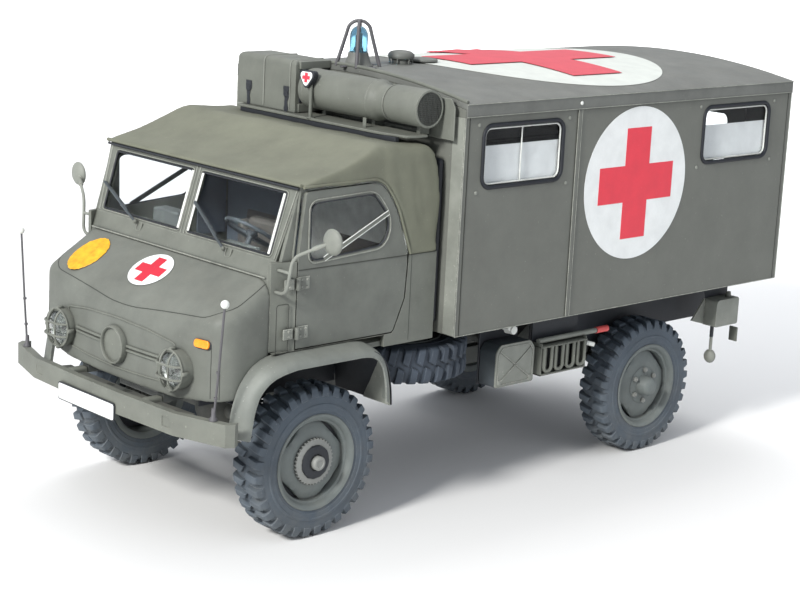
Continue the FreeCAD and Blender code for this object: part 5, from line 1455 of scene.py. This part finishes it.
# Rack of tubes, with the pole above it
build("rack_backs", BLACK, (block, (868, 1787, 900), (880, 2210, 1087), 2, 1),
    (block, (868, 1787, 695), (876, 2210, 900), 2, 1), (block, (780, 1404, 662), (796, 1744, 1087), 3, 1),
    replaces=("side_racks",))
shapes = [(block, (880, 1787, 692), (966, 2210, 704), 3)]
shapes += [(block, (880, y, 692), (966, y + 12, 900), 3) for y in (1787, 2198)]
for y in (1843, 1946, 2049, 2152):
    tube = softened([(y - 34, 884), (y - 34, 722), (y + 34, 722), (y + 34, 884)], 30, 4, closed=False)
    shapes += [(pipe, lay("x", 972, tube), 12), (bar, (930, y, 722), (930, y, 860), 26)]
build("rack_tubes", OLIVE, *shapes, (block, (902, 1787, 872), (976, 2210, 886), 4, 1), smooth=45)
build("rack_pole", LIGHT_OLIVE, (bar, (930, 1790, 912), (930, 2330, 912), 17, None, 20), smooth=45)
build("rack_pole_end", RED_END, (bar, (930, 2330, 912), (930, 2440, 912), 21, None, 20), smooth=45)
build("rack_light_knob", TRIM_WHITE, (bar, (955, 2222, 850), (985, 2262, 838), 15, None, 12), smooth=45)

# Coil springs
shapes = []
for x in (375, -375):
    for axle in (0, WHEELBASE):
        turns = [math.tau * i / 16 for i in range(97)]
        coil = [(x + 42 * math.cos(a), axle + 42 * math.sin(a), 640 + 142 * a / turns[-1]) for a in turns]
        shapes += [(pipe, coil, 8.5)]
        shapes += [(lathe, [(0, 0), (48, 0), (48, 10), (0, 10)], (x, axle, z), AXIS_Z, 24)
            for z in (634, 778)]
build("springs", BLACK, *shapes, replaces=("coil_springs",), smooth=60)


# ---------------------------------------------------------------- floor, lights and camera

def studio_floor():
    bm = bmesh.new()
    bmesh.ops.create_grid(bm, x_segments=1, y_segments=1, size=4)
    mesh = bpy.data.meshes.new("studio_floor")
    bm.to_mesh(mesh)
    bm.free()
    material, _, shader = new_material("floor_board", "stage")
    shader["Base Color"].default_value = (0.8, 0.8, 0.79, 1)
    shader["Roughness"].default_value = 0.75
    mesh.materials.append(material)
    floor = bpy.data.objects.new("studio_floor", mesh)
    bpy.context.scene.collection.objects.link(floor)
    floor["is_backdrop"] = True


def area_light(name, size, power, place, turn=(0, 0, 0), colour=(1, 1, 1), spread=180):
    """Square area light, which shines straight down unless it is turned."""
    lamp = bpy.data.lights.new(name, "AREA")
    lamp.size = size
    lamp.energy = power
    lamp.color = colour
    lamp.spread = math.radians(spread)
    holder = bpy.data.objects.new(name, lamp)
    holder.location = place
    holder.rotation_euler = turn
    bpy.context.scene.collection.objects.link(holder)


def soft_light(name, toward, distance, size, power, colour=(1, 1, 1)):
    """Area light that shines on the truck's middle from that direction."""
    way = Vector(toward).normalized()
    area_light(name, size, power, Vector((0, 0, 0.03)) + way * distance,
        way.to_track_quat("Z", "Y").to_euler(), colour)


studio_floor()
soft_light("key", (0.2, -0.88, 0.56), 0.8, 0.13, 7.4, (1.0, 0.985, 0.96))
soft_light("fill", (1.0, 0.1, 0.4), 0.9, 0.7, 0.9, (0.95, 0.98, 1.0))
soft_light("top", (-0.2, 0.3, 1.0), 0.8, 0.5, 0.5)
area_light("backdrop", 1.3, 14.0, (-0.75, 0.85, 0.8), spread=100)

world = bpy.data.worlds.new("studio")
bpy.context.scene.world = world
world.use_nodes = True
sky = world.node_tree.nodes["Background"].inputs
sky["Color"].default_value = (0.88, 0.92, 1.0, 1)
sky["Strength"].default_value = 0.62

AZIMUTH, ELEVATION, ROLL = math.radians(46.678), math.radians(13.125), math.radians(2.772)
CAMERA_PLACE = Vector((8695.4, -6739.5, 3820.5))
back = Vector((math.sin(AZIMUTH) * math.cos(ELEVATION), -math.cos(AZIMUTH) * math.cos(ELEVATION),
    math.sin(ELEVATION)))
right = AXIS_Z.cross(back).normalized()
up = back.cross(right)
leaned_right = right * math.cos(ROLL) + up * math.sin(ROLL)
leaned_up = up * math.cos(ROLL) - right * math.sin(ROLL)
lens = bpy.data.cameras.new("studio_camera")
lens.lens, lens.sensor_width = 85.17, 36
lens.clip_start = 0.01
camera = bpy.data.objects.new("studio_camera", lens)
turned = Matrix((leaned_right, leaned_up, back)).transposed().to_4x4()
camera.matrix_world = Matrix.Translation(TO_FRAME @ CAMERA_PLACE) @ turned
bpy.context.scene.collection.objects.link(camera)
bpy.context.scene.camera = camera
bpy.context.scene.view_settings.view_transform = "Standard"

low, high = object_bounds()
